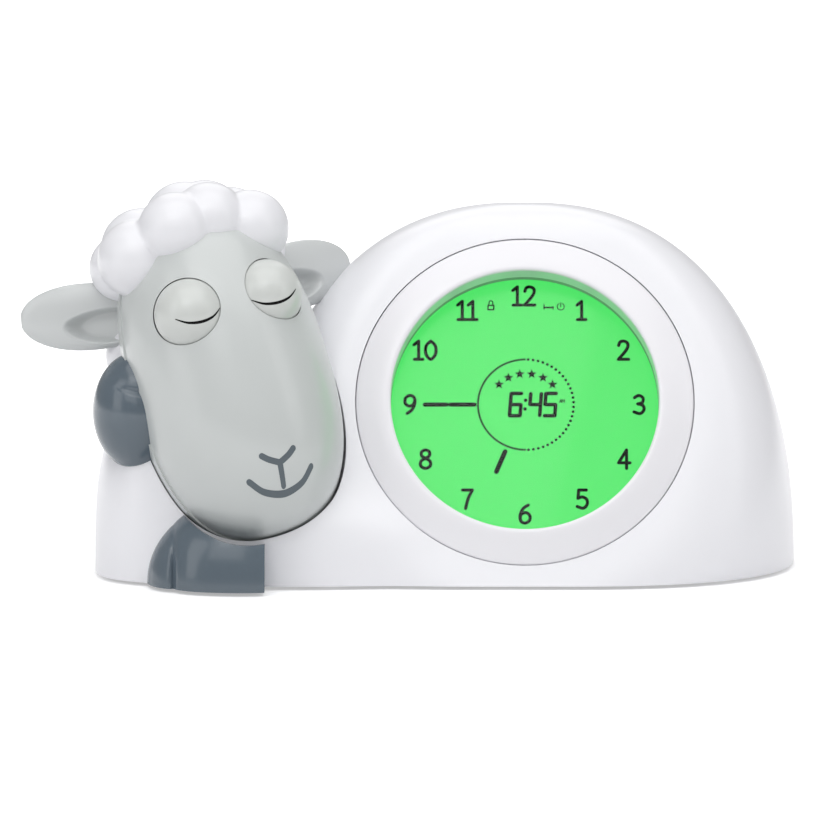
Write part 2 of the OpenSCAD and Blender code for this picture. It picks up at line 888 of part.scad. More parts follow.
// Fullness of the ear at t from its root to its tip
function ear_full(t) = t < 0.45 ? quarter((0.45 - t) / 0.62, 2) : quarter((t - 0.45) / 0.56, 2.4);

// One ear along +x from its root, with its dished side towards -y
module ear_form(g = 0, around = 20, steps = 12, dish = 0.85)
    loft([for (i = [0:steps])
        let (t = i / steps, full = ear_full(t))
        [for (k = [0:around - 1])
            let (a = -360 * k / around, deep = sin(a) > 0 ? 1 : 0.8 - dish * pow(sin(a), 2))
            [t * ear_len, (ear_half_t * full + g) * sin(a) * deep, (ear_half_h * full + g) * cos(a)]]]);

module ear_place(s)
    in_head()
        translate([s * ear_root.x, ear_root.y, ear_root.z])
            mirror([s < 0 ? 1 : 0, 0, 0])
                rotate([0, -ear_rise[s < 0 ? 0 : 1], ear_back])
                    children();

// Pin at the root of an ear, which enters the head
module ear_pin(s, r)
    ear_place(s)
        translate([-ear_pin_in, ear_half_t / 2, 0])
            rotate([0, 90, 0])
                cylinder(r = r, h = ear_pin_in + ear_pin_out);

module ear(s)
    color(grey) {
        difference() {
            ear_place(s)
                ear_form();
            head_clearance(gap + back_grow);
            if (s > 0)
                body_form(-0.8, 0, 12, 18, -90, -38);
        }
        ear_pin(s, ear_pin_r);
    }

module left_ear() ear(-1);
module right_ear() ear(1);

// ---- Hooves -------------------------------------------------------------------------------

low_hoof_at = [-88, 8, 0];
low_hoof = [29, 21, 27];
low_hoof_end = -80.4;
high_hoof_at = [-120, 20, 52];
high_hoof = [14, 15, 18.5];
cleft_w = 1.2;
cleft_deep = 1;
low_cleft = -20.6;
high_cleft = 7.5;
high_cleft_turn = 78;
chin_rise = 8;

// Ellipsoid with half axes r and its poles on the x axis
module egg(r, around = 20, steps = 10)
    loft([for (i = [0:steps])
        let (a = -86 + 172 * i / steps)
        [for (k = [0:around - 1])
            [r.x * sin(a) / sin(86), r.y * cos(a) * cos(360 * k / around),
             r.z * cos(a) * sin(360 * k / around)]]]);

// Shallow cleft all round a hoof, off its middle along an axis turned up from x
module cleft(at, r, off, turn)
    translate(at)
        difference() {
            rotate([0, -turn, 0])
                translate([off - cleft_w / 2, -far / 2, -far / 2])
                    cube([cleft_w, far, far]);
            egg(r - cleft_deep * [1, 1, 1]);
        }

// The chin and everything in front of it, so that the hoof below keeps clear of its outline
module chin_sweep()
    hull()
        for (forward = [0, 40])
            translate([0, -forward, forward * tan(chin_rise)])
                head_clearance(gap + back_grow);

module lower_hoof()
    color(slate)
        difference() {
            translate(low_hoof_at)
                egg(low_hoof);
            cleft(low_hoof_at, low_hoof, low_cleft, 0);
            translate([-far / 2, -far / 2, -far])
                cube(far);
            translate([low_hoof_end, -far / 2, -1])
                cube(far);
            chin_sweep();
            body_form(-2 * gap, 1, 14, 16, -125, -70);
        }

module upper_hoof()
    color(slate)
        difference() {
            translate(high_hoof_at)
                egg(high_hoof);
            cleft(high_hoof_at, high_hoof, high_cleft, high_cleft_turn);
            head_clearance(gap + back_grow);
            body_form(-3 * gap, 1, 12, 14, -133.9, -80);
        }

module neck_screws()
    color(steel)
        neck_places()
            screw(12);

// ---- Eye mechanism ------------------------------------------------------------------------

tooth_slack = 0.05;
eye_pitch_r = gear_m * eye_teeth / 2;
idler_pitch_r = gear_m * idler_teeth / 2;
pinion_pitch_r = gear_m * pinion_teeth / 2;
idler_y = -eye_out + eye_pitch_r + idler_pitch_r + tooth_slack;
pinion_dir = 45;
pinion_off = idler_pitch_r + pinion_pitch_r + tooth_slack;
pinion_y = idler_y + pinion_off * cos(pinion_dir);
pinion_z = eye_up - pinion_off * sin(pinion_dir);
cheek_t = 1.2;
cheek_x = gear_t / 2 + 0.15;
ball_flat = cheek_x + cheek_t + 0.25;
motor_r = 6;
motor_l = 15;
foot_y = 12;
foot_t = 1.6;
foot_half = 11;
bracket_z = pinion_z + 5;
bracket_screw_x = 8;

function involute_turn(r, rb) =
    r <= rb ? 0 : let (a = sqrt(pow(r / rb, 2) - 1)) a * 180 / PI - atan(a);
function gear_outline(teeth) =
    let (
        rp = gear_m * teeth / 2,
        rb = rp * cos(20),
        root = rp - 1.2 * gear_m,
        tip = rp + 0.95 * gear_m,
        half = 90 / teeth - tooth_slack / rp * 180 / PI + involute_turn(rp, rb),
        radii = [root, max(root + 0.01, rb), rp, (rp + tip) / 2, tip]
    )
    [for (i = [0:teeth - 1])
        each concat(
            [for (r = radii) let (a = 360 * i / teeth - half + involute_turn(r, rb)) r * [cos(a), sin(a)]],
            [for (k = [4:-1:0]) let (r = radii[k], a = 360 * i / teeth + half - involute_turn(r, rb))
                r * [cos(a), sin(a)]]
        )];

// A gear whose axis is along x, with one tooth turned to the angle from +y towards +z
module gear(teeth, turn, hole)
    rotate([90, 0, 90])
        rotate(turn)
            translate([0, 0, -gear_t / 2])
                difference() {
                    linear_extrude(gear_t)
                        polygon(gear_outline(teeth));
                    translate([0, 0, -1])
                        cylinder(r = hole, h = gear_t + 2);
                }

module along_x(y, z, len, r, from = 0)
    translate([from, y, z])
        rotate([0, 90, 0])
            cylinder(r = r, h = len);

// Places its child, drawn round the x axis for the right eye, at both eyes
module eye_pair()
    in_head()
        for (s = [-1, 1])
            mirror([s < 0 ? 1 : 0, 0, 0])
                translate([eye_x, -eye_out, eye_up])
                    rotate([0, 90, 0])
                        children();

// Half profile of an eye, cut flat on its inner side
module eye_profile(r)
    intersection() {
        circle(r = r);
        translate([0, ball_flat - eye_x])
            square(far);
    }

module axle_seat()
    translate([-1, -far])
        square([1 + axle_r + 0.03, far + 0.05]);

module eyeballs()
    color([0.98, 0.98, 0.97])
        eye_pair() {
            rotate_extrude()
                difference() {
                    eye_profile(eye_r - lid_t - 0.05);
                    axle_seat();
                }
            translate([0, 0.05, 0])
                rotate_extrude(angle = 180)
                    difference() {
                        eye_profile(eye_r - 0.05);
                        translate([-1, -far / 2])
                            square([1 + eye_r / 2, far]);
                    }
        }

module eyelids()
    color(grey)
        eye_pair()
            rotate(180)
                rotate_extrude(angle = 180)
                    difference() {
                        eye_profile(eye_r);
                        circle(r = eye_r - lid_t);
                    }

module eye_axle()
    color(steel)
        in_head()
            along_x(-eye_out, eye_up, 2 * eye_x, axle_r, -eye_x);

module eye_gear()
    color(wool)
        in_head()
            translate([0, -eye_out, eye_up])
                gear(eye_teeth, 0, axle_r + 0.01);

module idler_gear()
    color(wool)
        in_head()
            translate([0, idler_y, eye_up])
                gear(idler_teeth, 180 + 180 / idler_teeth, axle_r + run_fit);

module idler_pin()
    color(steel)
        in_head()
            along_x(idler_y, eye_up, 2 * (cheek_x + cheek_t), axle_r, -cheek_x - cheek_t);

module motor_pinion()
    color(wool)
        in_head()
            translate([0, pinion_y, pinion_z])
                gear(pinion_teeth, 0, 0.75);

module gearmotor()
    color(steel)
        in_head() {
            along_x(pinion_y, pinion_z, motor_l, motor_r, cheek_x + cheek_t + 0.05);
            along_x(pinion_y, pinion_z, cheek_x + cheek_t + gear_t, 0.7, -gear_t / 2);
        }

module cheek()
    difference() {
        hull() {
            along_x(-eye_out, eye_up, cheek_t, 3);
            along_x(idler_y, eye_up, cheek_t, 5);
            along_x(pinion_y, pinion_z, cheek_t, 6);
            translate([0, foot_y - 2, pinion_z - 6])
                cube([cheek_t, 2, 2 * foot_half]);
        }
        along_x(-eye_out, eye_up, 4, axle_r + run_fit, -1);
        along_x(idler_y, eye_up, 4, axle_r + 0.01, -1);
        along_x(pinion_y, pinion_z, 4, 2, -1);
    }

module eye_bracket()
    color(slate)
        in_head() {
            translate([cheek_x, 0, 0])
                cheek();
            translate([-cheek_x - cheek_t, 0, 0])
                cheek();
            difference() {
                translate([-foot_half, foot_y - 0.01, pinion_z - 6])
                    cube([2 * foot_half, foot_t, 2 * foot_half]);
                for (s = [-1, 1])
                    translate([s * bracket_screw_x, foot_y - 1, bracket_z])
                        rotate([-90, 0, 0])
                            cylinder(r = 1.1, h = 5);
            }
        }

module bracket_screws()
    color(steel)
        in_head()
            for (s = [-1, 1])
                translate([s * bracket_screw_x, foot_y - 1.02, bracket_z])
                    rotate([-90, 0, 0]) {
                        cylinder(r = 2, h = 1);
                        cylinder(r = 0.75, h = 9);
                    }

// ---- Drawing ------------------------------------------------------------------------------

placed() front_shell();
placed() rear_cover();
placed() base_plate();
placed() rubber_feet();
placed() housing_screws();
placed() bezel_ring();
placed() display_lens();
placed() lcd_panel();
placed() diffuser();
placed() lcd_frame();
placed() main_pcb();
placed() light_leds();
placed() board_screws();
placed() key_pcb();
placed() tact_switches();
placed() key_set();
placed() key_alarm();
placed() key_nap();
placed() key_light();
placed() key_plus();
placed() key_minus();
placed() switch_bodies();
placed() power_slider();
placed() lock_slider();
placed() speaker();
placed() usb_socket();
placed() batteries();
placed() battery_contacts();
placed() battery_door();
placed() door_screw();
placed() face_shell();
placed() head_back();
placed() wool_cap();
placed() left_ear();
placed() right_ear();
placed() upper_hoof();
placed() lower_hoof();
placed() neck_screws();
placed() eyeballs();
placed() eyelids();
placed() eye_axle();
placed() eye_gear();
placed() idler_gear();
placed() idler_pin();
placed() motor_pinion();
placed() gearmotor();
placed() eye_bracket();
placed() bracket_screws();
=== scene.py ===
"""Looks of the kids alarm clock with night light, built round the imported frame. Lengths are in millimetres in the
design frame of the source (dome's middle x 0, dome's bottom front edge y 0, underside z 0) until a mesh is stored."""
import math
import bpy
import bmesh
import numpy as np
from mathutils import Matrix, Vector


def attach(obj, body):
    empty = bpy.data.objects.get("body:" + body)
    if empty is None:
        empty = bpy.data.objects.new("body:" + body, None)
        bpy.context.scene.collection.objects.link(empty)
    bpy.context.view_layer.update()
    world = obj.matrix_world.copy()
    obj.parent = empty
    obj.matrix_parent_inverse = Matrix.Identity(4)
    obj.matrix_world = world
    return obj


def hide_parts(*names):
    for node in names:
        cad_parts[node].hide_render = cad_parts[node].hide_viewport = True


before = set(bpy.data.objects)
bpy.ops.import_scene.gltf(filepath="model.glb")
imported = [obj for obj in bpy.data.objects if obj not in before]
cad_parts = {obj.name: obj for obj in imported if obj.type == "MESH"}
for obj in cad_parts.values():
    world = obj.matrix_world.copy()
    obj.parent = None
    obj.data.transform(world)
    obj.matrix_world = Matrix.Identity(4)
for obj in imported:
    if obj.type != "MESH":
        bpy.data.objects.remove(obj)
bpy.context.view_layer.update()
DESIGN_AT = Vector((35.75, -33.2, 1.2))
TO_FRAME = Matrix.Scale(0.001, 4) @ Matrix.Translation(DESIGN_AT)

# ---- values shared with the source: housing ----
WALL, GAP = 2.4, 0.3
LEAN = 23.5
DOME_W, DOME_H, DOME_D = 170.0, 112.0, 80.0
COVER_D = 18.0
SPLIT_Y = DOME_D - COVER_D
RIDGE_Y, RIDGE_R = 58.0, 14.2
RIDGE_Z = DOME_H - RIDGE_R
PAD_W, PAD_H = 54.5, 62.0
SHOULDER_AT, SHOULDER_W, SHOULDER_H = (-95.0, 45.0), 39.0, 58.0
SHOULDER_FRONT, SHOULDER_BACK = 38.0, 34.0
LEG_AT, LEG_W, LEG_D, LEG_H = (-75.0, 13.0), 38.0, 13.0, 25.0
BODY_LEFT, BODY_RIGHT = SHOULDER_AT[0] - SHOULDER_W, DOME_W / 2

# dial: how far up the slope, then its seat, ring and window
DIAL_UP, SEAT_R, SEAT_DEEP, WINDOW_R = 59.4, 52.7, 2.5, 41.6
RING_PROUD, WINDOW_DEEP, WINDOW_T, SLEEVE_T = 3.25, 11.0, 1.5, 2.0

# rear cover: places are X and Z of the back wall
PANEL, PANEL_W, PANEL_H, PANEL_SUNK, PANEL_T = (20.0, 44.0), 60.0, 52.0, 2.4, 2.4
PANEL_Y = DOME_D - PANEL_SUNK
KEY_STEP, KEY_ROWS, KEY_HOLE_R, KEY_PROUD, KEY_DISH, KEY_DISH_R = 18, (14, -2), 5.3, 1.5, 0.3, 4.5
SLIDE_X, SLIDE_DOWN, SLOT_W, SLOT_H = 11, 17, 8.6, 3.0
SPEAKER, GRILLE_R, SLITS, SLIT_STEP, SLIT_W = (-38.0, 44.0), 16, 9, 3.6, 1.8
INLET, INLET_W, INLET_H = (-14.0, 13.0), 9.6, 5.0
BOSSES, BOSS_R, SCREW_R, SCREW_HEAD_R = [(70, 20), (-68, 18), (38, 92), (-38, 92), (-118, 22)], 4.5, 1.7, 3.1
KEYS = [(PANEL[0] + i * KEY_STEP, PANEL[1] + z) for z in KEY_ROWS for i in (-1, 0, 1)]
SLIDES = [(PANEL[0] + s * SLIDE_X, PANEL[1] - SLIDE_DOWN) for s in (-1, 1)]

# head: the back moulding is BACK_GROW larger than the face
HEAD_R, CHIN, CROWN, HEAD_FULL, HEAD_WALL, BACK_GROW = 31.0, 49.0, 56.0, 2.45, 2.2, 0.5
EYE_R, EYE_X, EYE_OUT, EYE_UP, LID = 11.2, 12.5, 21.0, 22.0, 1.2

# degrees by which the camera looks down, and a length beyond the whole clock
LOOK_DOWN, FAR = 8, 200


def rot(axis, deg):
    return Matrix.Rotation(math.radians(deg), 4, axis)


HEAD = Matrix.Translation((-90.5, 20, 59.6)) @ rot("Y", -17) @ rot("X", -15) @ rot("Z", 19)
DIAL = rot("X", 90 - LEAN) @ Matrix.Translation((0, DIAL_UP, 0))


def back(x, z, y):
    """Frame of a hole in the back wall: its z runs out of the wall."""
    return Matrix.Translation((x, y, z)) @ rot("X", -90)


# ---- mesh helpers ----
def linked(name, me, m=None):
    if m is not None:
        me.transform(m)
    o = bpy.data.objects.new(name, me)
    bpy.context.scene.collection.objects.link(o)
    return o


def mesh(name, verts, faces, m=None):
    me = bpy.data.meshes.new(name)
    me.from_pydata([tuple(v) for v in verts], [], [tuple(f) for f in faces])
    return linked(name, me, m)


def from_bm(name, bm, m=None):
    me = bpy.data.meshes.new(name)
    bm.to_mesh(me)
    bm.free()
    return linked(name, me, m)


def fix(o):
    """Turns all faces outwards."""
    bm = bmesh.new()
    bm.from_mesh(o.data)
    bmesh.ops.recalc_face_normals(bm, faces=bm.faces)
    bm.to_mesh(o.data)
    bm.free()
    return o


def loft(name, rings, m=None):
    """Skin over rings of equally many points, closed at both ends."""
    rings = np.asarray(rings)
    k, n = rings.shape[:2]
    faces = [list(range(n))]
    for j in range(k - 1):
        for i in range(n):
            a, b = j * n + i, j * n + (i + 1) % n
            faces.append((a, a + n, b + n, b))
    faces.append([(k - 1) * n + i for i in range(n)][::-1])
    return fix(mesh(name, rings.reshape(-1, 3), faces, m))


def revolve(name, profile, m, around, arc=360.0):
    """Closed profile of (radius, height) turned round z, from +x."""
    full = arc > 359
    n = around if full else around + 1
    rings = []
    for i in range(n):
        a = math.radians(arc) * i / around
        rings.append([(r * math.cos(a), r * math.sin(a), z) for r, z in profile])
    k = len(profile)
    faces = []
    for i in range(around):
        for j in range(k):
            a, b = i * k + j, i * k + (j + 1) % k
            c, d = ((i + 1) % n) * k + (j + 1) % k, ((i + 1) % n) * k + j
            faces.append((a, b, c, d))
    if not full:
        faces += [list(range(k)), [(n - 1) * k + j for j in range(k)][::-1]]
    o = mesh(name, np.asarray(rings).reshape(-1, 3), faces, m)
    bm = bmesh.new()
    bm.from_mesh(o.data)
    bmesh.ops.remove_doubles(bm, verts=bm.verts, dist=1e-5)
    bmesh.ops.dissolve_degenerate(bm, edges=bm.edges, dist=1e-6)
    bmesh.ops.recalc_face_normals(bm, faces=bm.faces)
    bm.to_mesh(o.data)
    bm.free()
    return o


def cyl(m, r, z0, z1, seg=48):
    bm = bmesh.new()
    bmesh.ops.create_cone(bm, cap_ends=True, segments=seg, radius1=r, radius2=r, depth=z1 - z0,
                          matrix=Matrix.Translation((0, 0, (z0 + z1) / 2)))
    return from_bm("cut", bm, m)


def block(x0, x1, y0, y1, z0, z1, m=None):
    bm = bmesh.new()
    bmesh.ops.create_cube(bm, size=1, matrix=Matrix.Translation(((x0 + x1) / 2, (y0 + y1) / 2, (z0 + z1) / 2))
                          @ Matrix.Diagonal((x1 - x0, y1 - y0, z1 - z0, 1)))
    return from_bm("cut", bm, m)


def through_back(at, w, h, y0, y1):
    """A block w by h across the back wall, its middle at X and Z."""
    return block(at[0] - w / 2, at[0] + w / 2, y0, y1, at[1] - h / 2, at[1] + h / 2)


def ball(m, c, r):
    bm = bmesh.new()
    bmesh.ops.create_uvsphere(bm, u_segments=96, v_segments=48, radius=r, matrix=Matrix.Translation(c))
    return from_bm("cut", bm, m)


def drop(o):
    me = o.data
    bpy.data.objects.remove(o)
    bpy.data.meshes.remove(me)


def merged(objs, name, m=None):
    bm = bmesh.new()
    for o in objs:
        bm.from_mesh(o.data)
        drop(o)
    return from_bm(name, bm, m)


def bake(o):
    """Puts the result of the modifiers in place of the mesh."""
    me = bpy.data.meshes.new_from_object(o.evaluated_get(bpy.context.evaluated_depsgraph_get()))
    o.modifiers.clear()
    old, o.data = o.data, me
    bpy.data.meshes.remove(old)
    return o


def cut(o, others):
    """Takes the others out of a piece, and drops them."""
    for c in others:
        mod = o.modifiers.new("b", "BOOLEAN")
        mod.object, mod.operation, mod.solver = c, "DIFFERENCE", "MANIFOLD"
        bake(o)
        drop(c)
    return o


def soft_edges(o, width):
    mod = o.modifiers.new("edges", "BEVEL")
    mod.width, mod.segments, mod.limit_method, mod.angle_limit = width * 0.001, 2, "ANGLE", math.radians(40)


def stand(o, mat, body, nodes=(), sharp=32, name=None, rounded=0.0):
    """Stores a finished piece in the row frame, with its material and body."""
    o.data.transform(TO_FRAME)
    if name:
        o.name = o.data.name = name
    o.data.materials.clear()
    o.data.materials.append(mat)
    for p in o.data.polygons:
        p.use_smooth = True
    o.data.set_sharp_from_angle(angle=math.radians(sharp))
    if rounded:
        soft_edges(o, rounded)
    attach(o, body)
    if nodes:
        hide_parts(*nodes)


# ---- outer form of the housing, the same as in the source ----
DOME_FULL, PLAN_FULL, BACK_FULL, SHOULDER_FULL, LEG_FULL, BLEND = 2.3, 2.3, 5, 3.4, 2.5, 10


def quarter(u, n):
    return np.maximum(0, 1 - np.clip(u, 0, 1) ** n) ** (1 / n)


def measure(a, b, c, n):
    return (np.abs(a) ** n + np.abs(b) ** n + np.abs(c) ** n) ** (1 / n)


def body_measure(x, y, z, w):
    """Below 1 inside the housing with a wall w taken off, above 1 outside: dome, shoulder and leg blended."""
    t, c, s = math.tan(math.radians(LEAN)), math.cos(math.radians(LEAN)), math.sin(math.radians(LEAN))
    leaning = z * t + w / c
    rolled = RIDGE_Y - np.sqrt(np.maximum(0, (RIDGE_R - w) ** 2 - (z - RIDGE_Z) ** 2))
    front = np.where(z < RIDGE_Z + (RIDGE_R - w) * s, leaning, rolled)
    rear = RIDGE_Y + (DOME_D - RIDGE_Y - w) * quarter(z / (DOME_H - w), 4)
    half = np.maximum(1e-3, (DOME_W / 2 - w) * quarter(z / (DOME_H - w), DOME_FULL))
    pad = PAD_W * quarter(np.abs(z / c - DIAL_UP) / PAD_H, 2)
    flat = np.minimum(pad, 0.8 * half)
    ahead = measure(np.maximum(0, np.abs(x) - flat) / (half - flat),
                    (RIDGE_Y - y) / np.maximum(0.01, RIDGE_Y - front), 0, PLAN_FULL)
    behind = measure(x / half, (y - RIDGE_Y) / np.maximum(0.01, rear - RIDGE_Y), 0, BACK_FULL)
    dome = np.where(z > 0.9999 * (DOME_H - w), 9, np.where(y < RIDGE_Y, ahead, behind))
    depth = np.where(y < SHOULDER_AT[1], SHOULDER_FRONT, SHOULDER_BACK) - w
    shoulder = measure((x - SHOULDER_AT[0]) / (SHOULDER_W - w), (y - SHOULDER_AT[1]) / depth,
                       z / (SHOULDER_H - w), SHOULDER_FULL)
    leg = measure((x - LEG_AT[0]) / (LEG_W - w), (y - LEG_AT[1]) / (LEG_D - w), z / (LEG_H - w), LEG_FULL)
    return sum(np.maximum(0.1, m) ** -BLEND for m in (dome, shoulder, leg)) ** (-1 / BLEND)


def body_rings(w, skirt, stations, rays):
    """Sections across X, each found by rays from a core line on the floor; a skirt carries it below."""
    inset = 0.003
    half = (BODY_RIGHT - BODY_LEFT) / 2 - (w + 0.05 if w else 0.02)
    i = np.arange(stations + 1) / stations
    x = (BODY_LEFT + BODY_RIGHT) / 2 - half * np.cos(np.pi * (inset + (1 - 2 * inset) * i))
    t = 2 * np.arange(rays + 1) / rays - 1
    a = np.radians(90 + 90 * np.sign(t) * np.abs(t) ** 1.3)[::-1]
    core = SHOULDER_AT[1] + (RIDGE_Y - SHOULDER_AT[1]) * np.clip((x + 85) / 45, 0, 1)
    X, A = np.meshgrid(x, a, indexing="ij")
    C = np.broadcast_to(core[:, None], X.shape)
    low, high = np.zeros_like(X), np.full_like(X, 160.0)
    for _ in range(26):
        mid = (low + high) / 2
        inside = body_measure(X, C - mid * np.cos(A), mid * np.sin(A), w) < 1
        low, high = np.where(inside, mid, low), np.where(inside, high, mid)
    r = (low + high) / 2
    over = np.stack([X, C - r * np.cos(A), r * np.sin(A)], -1)
    mid = np.stack([x, core, np.full_like(x, -skirt)], -1)[:, None]
    if not skirt:
        return np.concatenate([mid, over], 1)
    first, last = over[:, :1].copy(), over[:, -1:].copy()
    first[..., 2] = last[..., 2] = -skirt
    return np.concatenate([mid, first, over, last], 1)


def head_radius(z):
    return HEAD_R * quarter(np.abs(z) / np.where(z < 0, CHIN, CROWN), HEAD_FULL)


def head_profile(g, n):
    a = np.linspace(-math.pi / 2, math.pi / 2, n)
    p = 2 / HEAD_FULL
    length = np.where(a < 0, CHIN, CROWN) + g
    r = (HEAD_R + g) * np.abs(np.cos(a)) ** p
    r[0] = r[-1] = 0
    return [(float(q), float(z)) for q, z in zip(r, np.sign(a) * length * np.abs(np.sin(a)) ** p)]


def head_form(name, g, n, around):
    """The head enlarged by g, an egg turned round its own z."""
    return revolve(name, head_profile(g, n), HEAD, around)


def housing_void():
    """The hollow of the housing. What is left out of it stays solid: the head's seat, the dial's seat, the key
    panel's and the inlet's surrounds, the speaker's seat and the bosses."""
    seats = [head_form("cut", GAP + BACK_GROW + 0.4 + WALL, 48, 72), cyl(DIAL, SEAT_R + 3, -SEAT_DEEP - 3, 2, 128),
             through_back(PANEL, PANEL_W + 2 * WALL, PANEL_H + 2 * WALL, PANEL_Y - PANEL_T, PANEL_Y + 18),
             cyl(back(*SPEAKER, DOME_D - 4), GRILLE_R + 4, 0, 20),
             through_back(INLET, 18, 8.8, DOME_D - 4.4, DOME_D + 6)]
    seats += [cyl(back(*p, 0), BOSS_R, 0, DOME_D) for p in BOSSES]
    return cut(loft("void", body_rings(WALL, 1, 96, 70)), seats)


STATIONS, RAYS = ((240, 170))
front = cut(loft("shell", body_rings(0, 0, STATIONS, RAYS)),
            [housing_void(), head_form("near", GAP + BACK_GROW + 0.05, 96, 192)])
rear = linked("rear", front.data.copy())
cut(front, [block(-FAR, FAR, SPLIT_Y, FAR, -50, FAR), cyl(DIAL, SEAT_R, -SEAT_DEEP, FAR, 256),
            cyl(DIAL, WINDOW_R + SLEEVE_T + GAP, -100, 100, 256)])
cuts = [block(-FAR, FAR, -FAR, SPLIT_Y + 0.12, -50, FAR), through_back(PANEL, PANEL_W, PANEL_H, PANEL_Y, PANEL_Y + 20)]
for p in BOSSES:
    cuts += [cyl(back(*p, SPLIT_Y - 1), SCREW_R, 0, 100), cyl(back(*p, SPLIT_Y + 5), SCREW_HEAD_R, 0, 100)]
cuts += [cyl(back(*p, PANEL_Y - PANEL_T - 1), KEY_HOLE_R, 0, 10) for p in KEYS]
cuts += [through_back(p, SLOT_W, SLOT_H, PANEL_Y - PANEL_T - 1, PANEL_Y + 8) for p in SLIDES]
for k in range(SLITS):
    x = SLIT_STEP * k - 15
    cuts.append(through_back((SPEAKER[0] + x, SPEAKER[1]), SLIT_W, 2 * math.sqrt(GRILLE_R ** 2 - x * x),
                             DOME_D - 5, DOME_D + 15))
cuts.append(through_back(INLET, INLET_W, INLET_H, DOME_D - 20, DOME_D + 20))
cut(rear, cuts)


# ---- materials ----
def lin(r, g, b, a=1.0):
    f = lambda c: (c / 255 / 12.92) if c / 255 <= 0.04045 else ((c / 255 + 0.055) / 1.055) ** 2.4
    return (f(r), f(g), f(b), a)


def either_ray(nt, one, other):
    """1 for rays of the two named kinds and 0 for the rest."""
    path = nt.nodes.new("ShaderNodeLightPath")
    seen = nt.nodes.new("ShaderNodeMath")
    seen.operation = "MAXIMUM"
    nt.links.new(path.outputs[one], seen.inputs[0])
    nt.links.new(path.outputs[other], seen.inputs[1])
    return seen.outputs[0]


def ranged(nt, value, low, high, start=0.0, end=1.0):
    node = nt.nodes.new("ShaderNodeMapRange")
    node.inputs["From Min"].default_value, node.inputs["From Max"].default_value = start, end
    node.inputs["To Min"].default_value, node.inputs["To Max"].default_value = low, high
    nt.links.new(value, node.inputs["Value"])
    return node.outputs["Result"]


def plastic(name, rgb, rough, vary, shade, scale=60, bump=0.02, coat=0.0, metal=0.0, film=0.08, shine=0.5):
    """Moulded plastic: faint cloudiness of colour, a slight unevenness of gloss and a fine moulded skin."""
    m = bpy.data.materials.new(name)
    m.use_nodes = True
    nt = m.node_tree
    b = nt.nodes["Principled BSDF"]
    pos = nt.nodes.new("ShaderNodeTexCoord")
    cloud = nt.nodes.new("ShaderNodeTexNoise")
    cloud.inputs["Scale"].default_value = scale
    cloud.inputs["Detail"].default_value = 3
    nt.links.new(pos.outputs["Object"], cloud.inputs["Vector"])
    mix = nt.nodes.new("ShaderNodeMix")
    mix.data_type = "RGBA"
    c = lin(*rgb)
    mix.inputs[6].default_value = tuple(x * shade for x in c[:3]) + (1,)
    mix.inputs[7].default_value = c
    nt.links.new(cloud.outputs["Fac"], mix.inputs[0])
    nt.links.new(mix.outputs[2], b.inputs["Base Color"])
    nt.links.new(ranged(nt, cloud.outputs["Fac"], rough - vary, rough + vary), b.inputs["Roughness"])
    grain = nt.nodes.new("ShaderNodeTexNoise")
    grain.inputs["Scale"].default_value = 900
    nt.links.new(pos.outputs["Object"], grain.inputs["Vector"])
    bp = nt.nodes.new("ShaderNodeBump")
    bp.inputs["Strength"].default_value = bump
    bp.inputs["Distance"].default_value = 0.0004
    nt.links.new(grain.outputs["Fac"], bp.inputs["Height"])
    nt.links.new(bp.outputs["Normal"], b.inputs["Normal"])
    b.inputs["Metallic"].default_value = metal
    b.inputs["Specular IOR Level"].default_value = shine
    if coat:
        b.inputs["Coat Weight"].default_value = coat
        b.inputs["Coat Roughness"].default_value = film
    return m


M = {
    "white": plastic("gloss_white", (241, 241, 245), 0.32, 0.03, 0.985, coat=0.15, film=0.2),
    "ring": plastic("ring_white", (238, 237, 241), 0.3, 0.02, 0.985, coat=0.2, film=0.15),
    "wool": plastic("wool_white", (236, 236, 240), 0.31, 0.03, 0.98, coat=0.2),
    "face": plastic("face_grey", (200, 204, 203), 0.3, 0.02, 0.985, coat=0.4, film=0.17),
    "ear": plastic("ear_grey", (203, 206, 206), 0.3, 0.02, 0.985, coat=0.35, film=0.12),
    "lid": plastic("lid_grey", (207, 210, 207), 0.3, 0.02, 0.985, coat=0.3, film=0.14),
    "hoof": plastic("hoof_slate", (92, 104, 114), 0.2, 0.02, 0.97, coat=0.15, film=0.1),
    "ball": plastic("eye_white", (245, 245, 243), 0.14, 0.02, 0.99, coat=0.5),
    "print": plastic("print_slate", (88, 98, 105), 0.4, 0.03, 0.95, scale=300),
    "black": plastic("print_black", (12, 11, 11), 0.5, 0.03, 0.9, scale=300, shine=0.1),
    # painted light: the window's wall is tinted green as if lit by the display
    "sleeve": plastic("window_wall_painted_green_light", (198, 233, 209), 0.3, 0.02, 0.985),
    # painted shade: a darker green line at the foot of the window's wall, where its shadow falls, tinted with painted
    # green light
    "painted_shade_line": plastic("window_painted_shade_line", (128, 170, 138), 0.5, 0.04, 0.95),
    "rubber": plastic("rubber_black", (38, 38, 40), 0.75, 0.08, 0.8, scale=200, bump=0.25),
    "key": plastic("key_white", (232, 232, 236), 0.32, 0.03, 0.98),
    "slider": plastic("slider_grey", (92, 98, 106), 0.45, 0.05, 0.9, bump=0.08),
    "steel": plastic("steel", (190, 192, 196), 0.32, 0.06, 0.9, scale=400, metal=1.0),
    "board": plastic("board_green", (20, 92, 58), 0.4, 0.06, 0.8, scale=150),
    "blackp": plastic("black_plastic", (32, 32, 35), 0.5, 0.06, 0.85),
    "cell": plastic("cell_label", (44, 46, 52), 0.35, 0.05, 0.85),
    "frame": plastic("frame_plastic", (222, 222, 226), 0.45, 0.05, 0.95),
    "gear": plastic("gear_white", (226, 226, 220), 0.45, 0.05, 0.95),
    "diff": plastic("diffuser", (218, 245, 225), 0.55, 0.05, 0.96),
    "led": plastic("led", (245, 244, 200), 0.3, 0.05, 0.9),
}


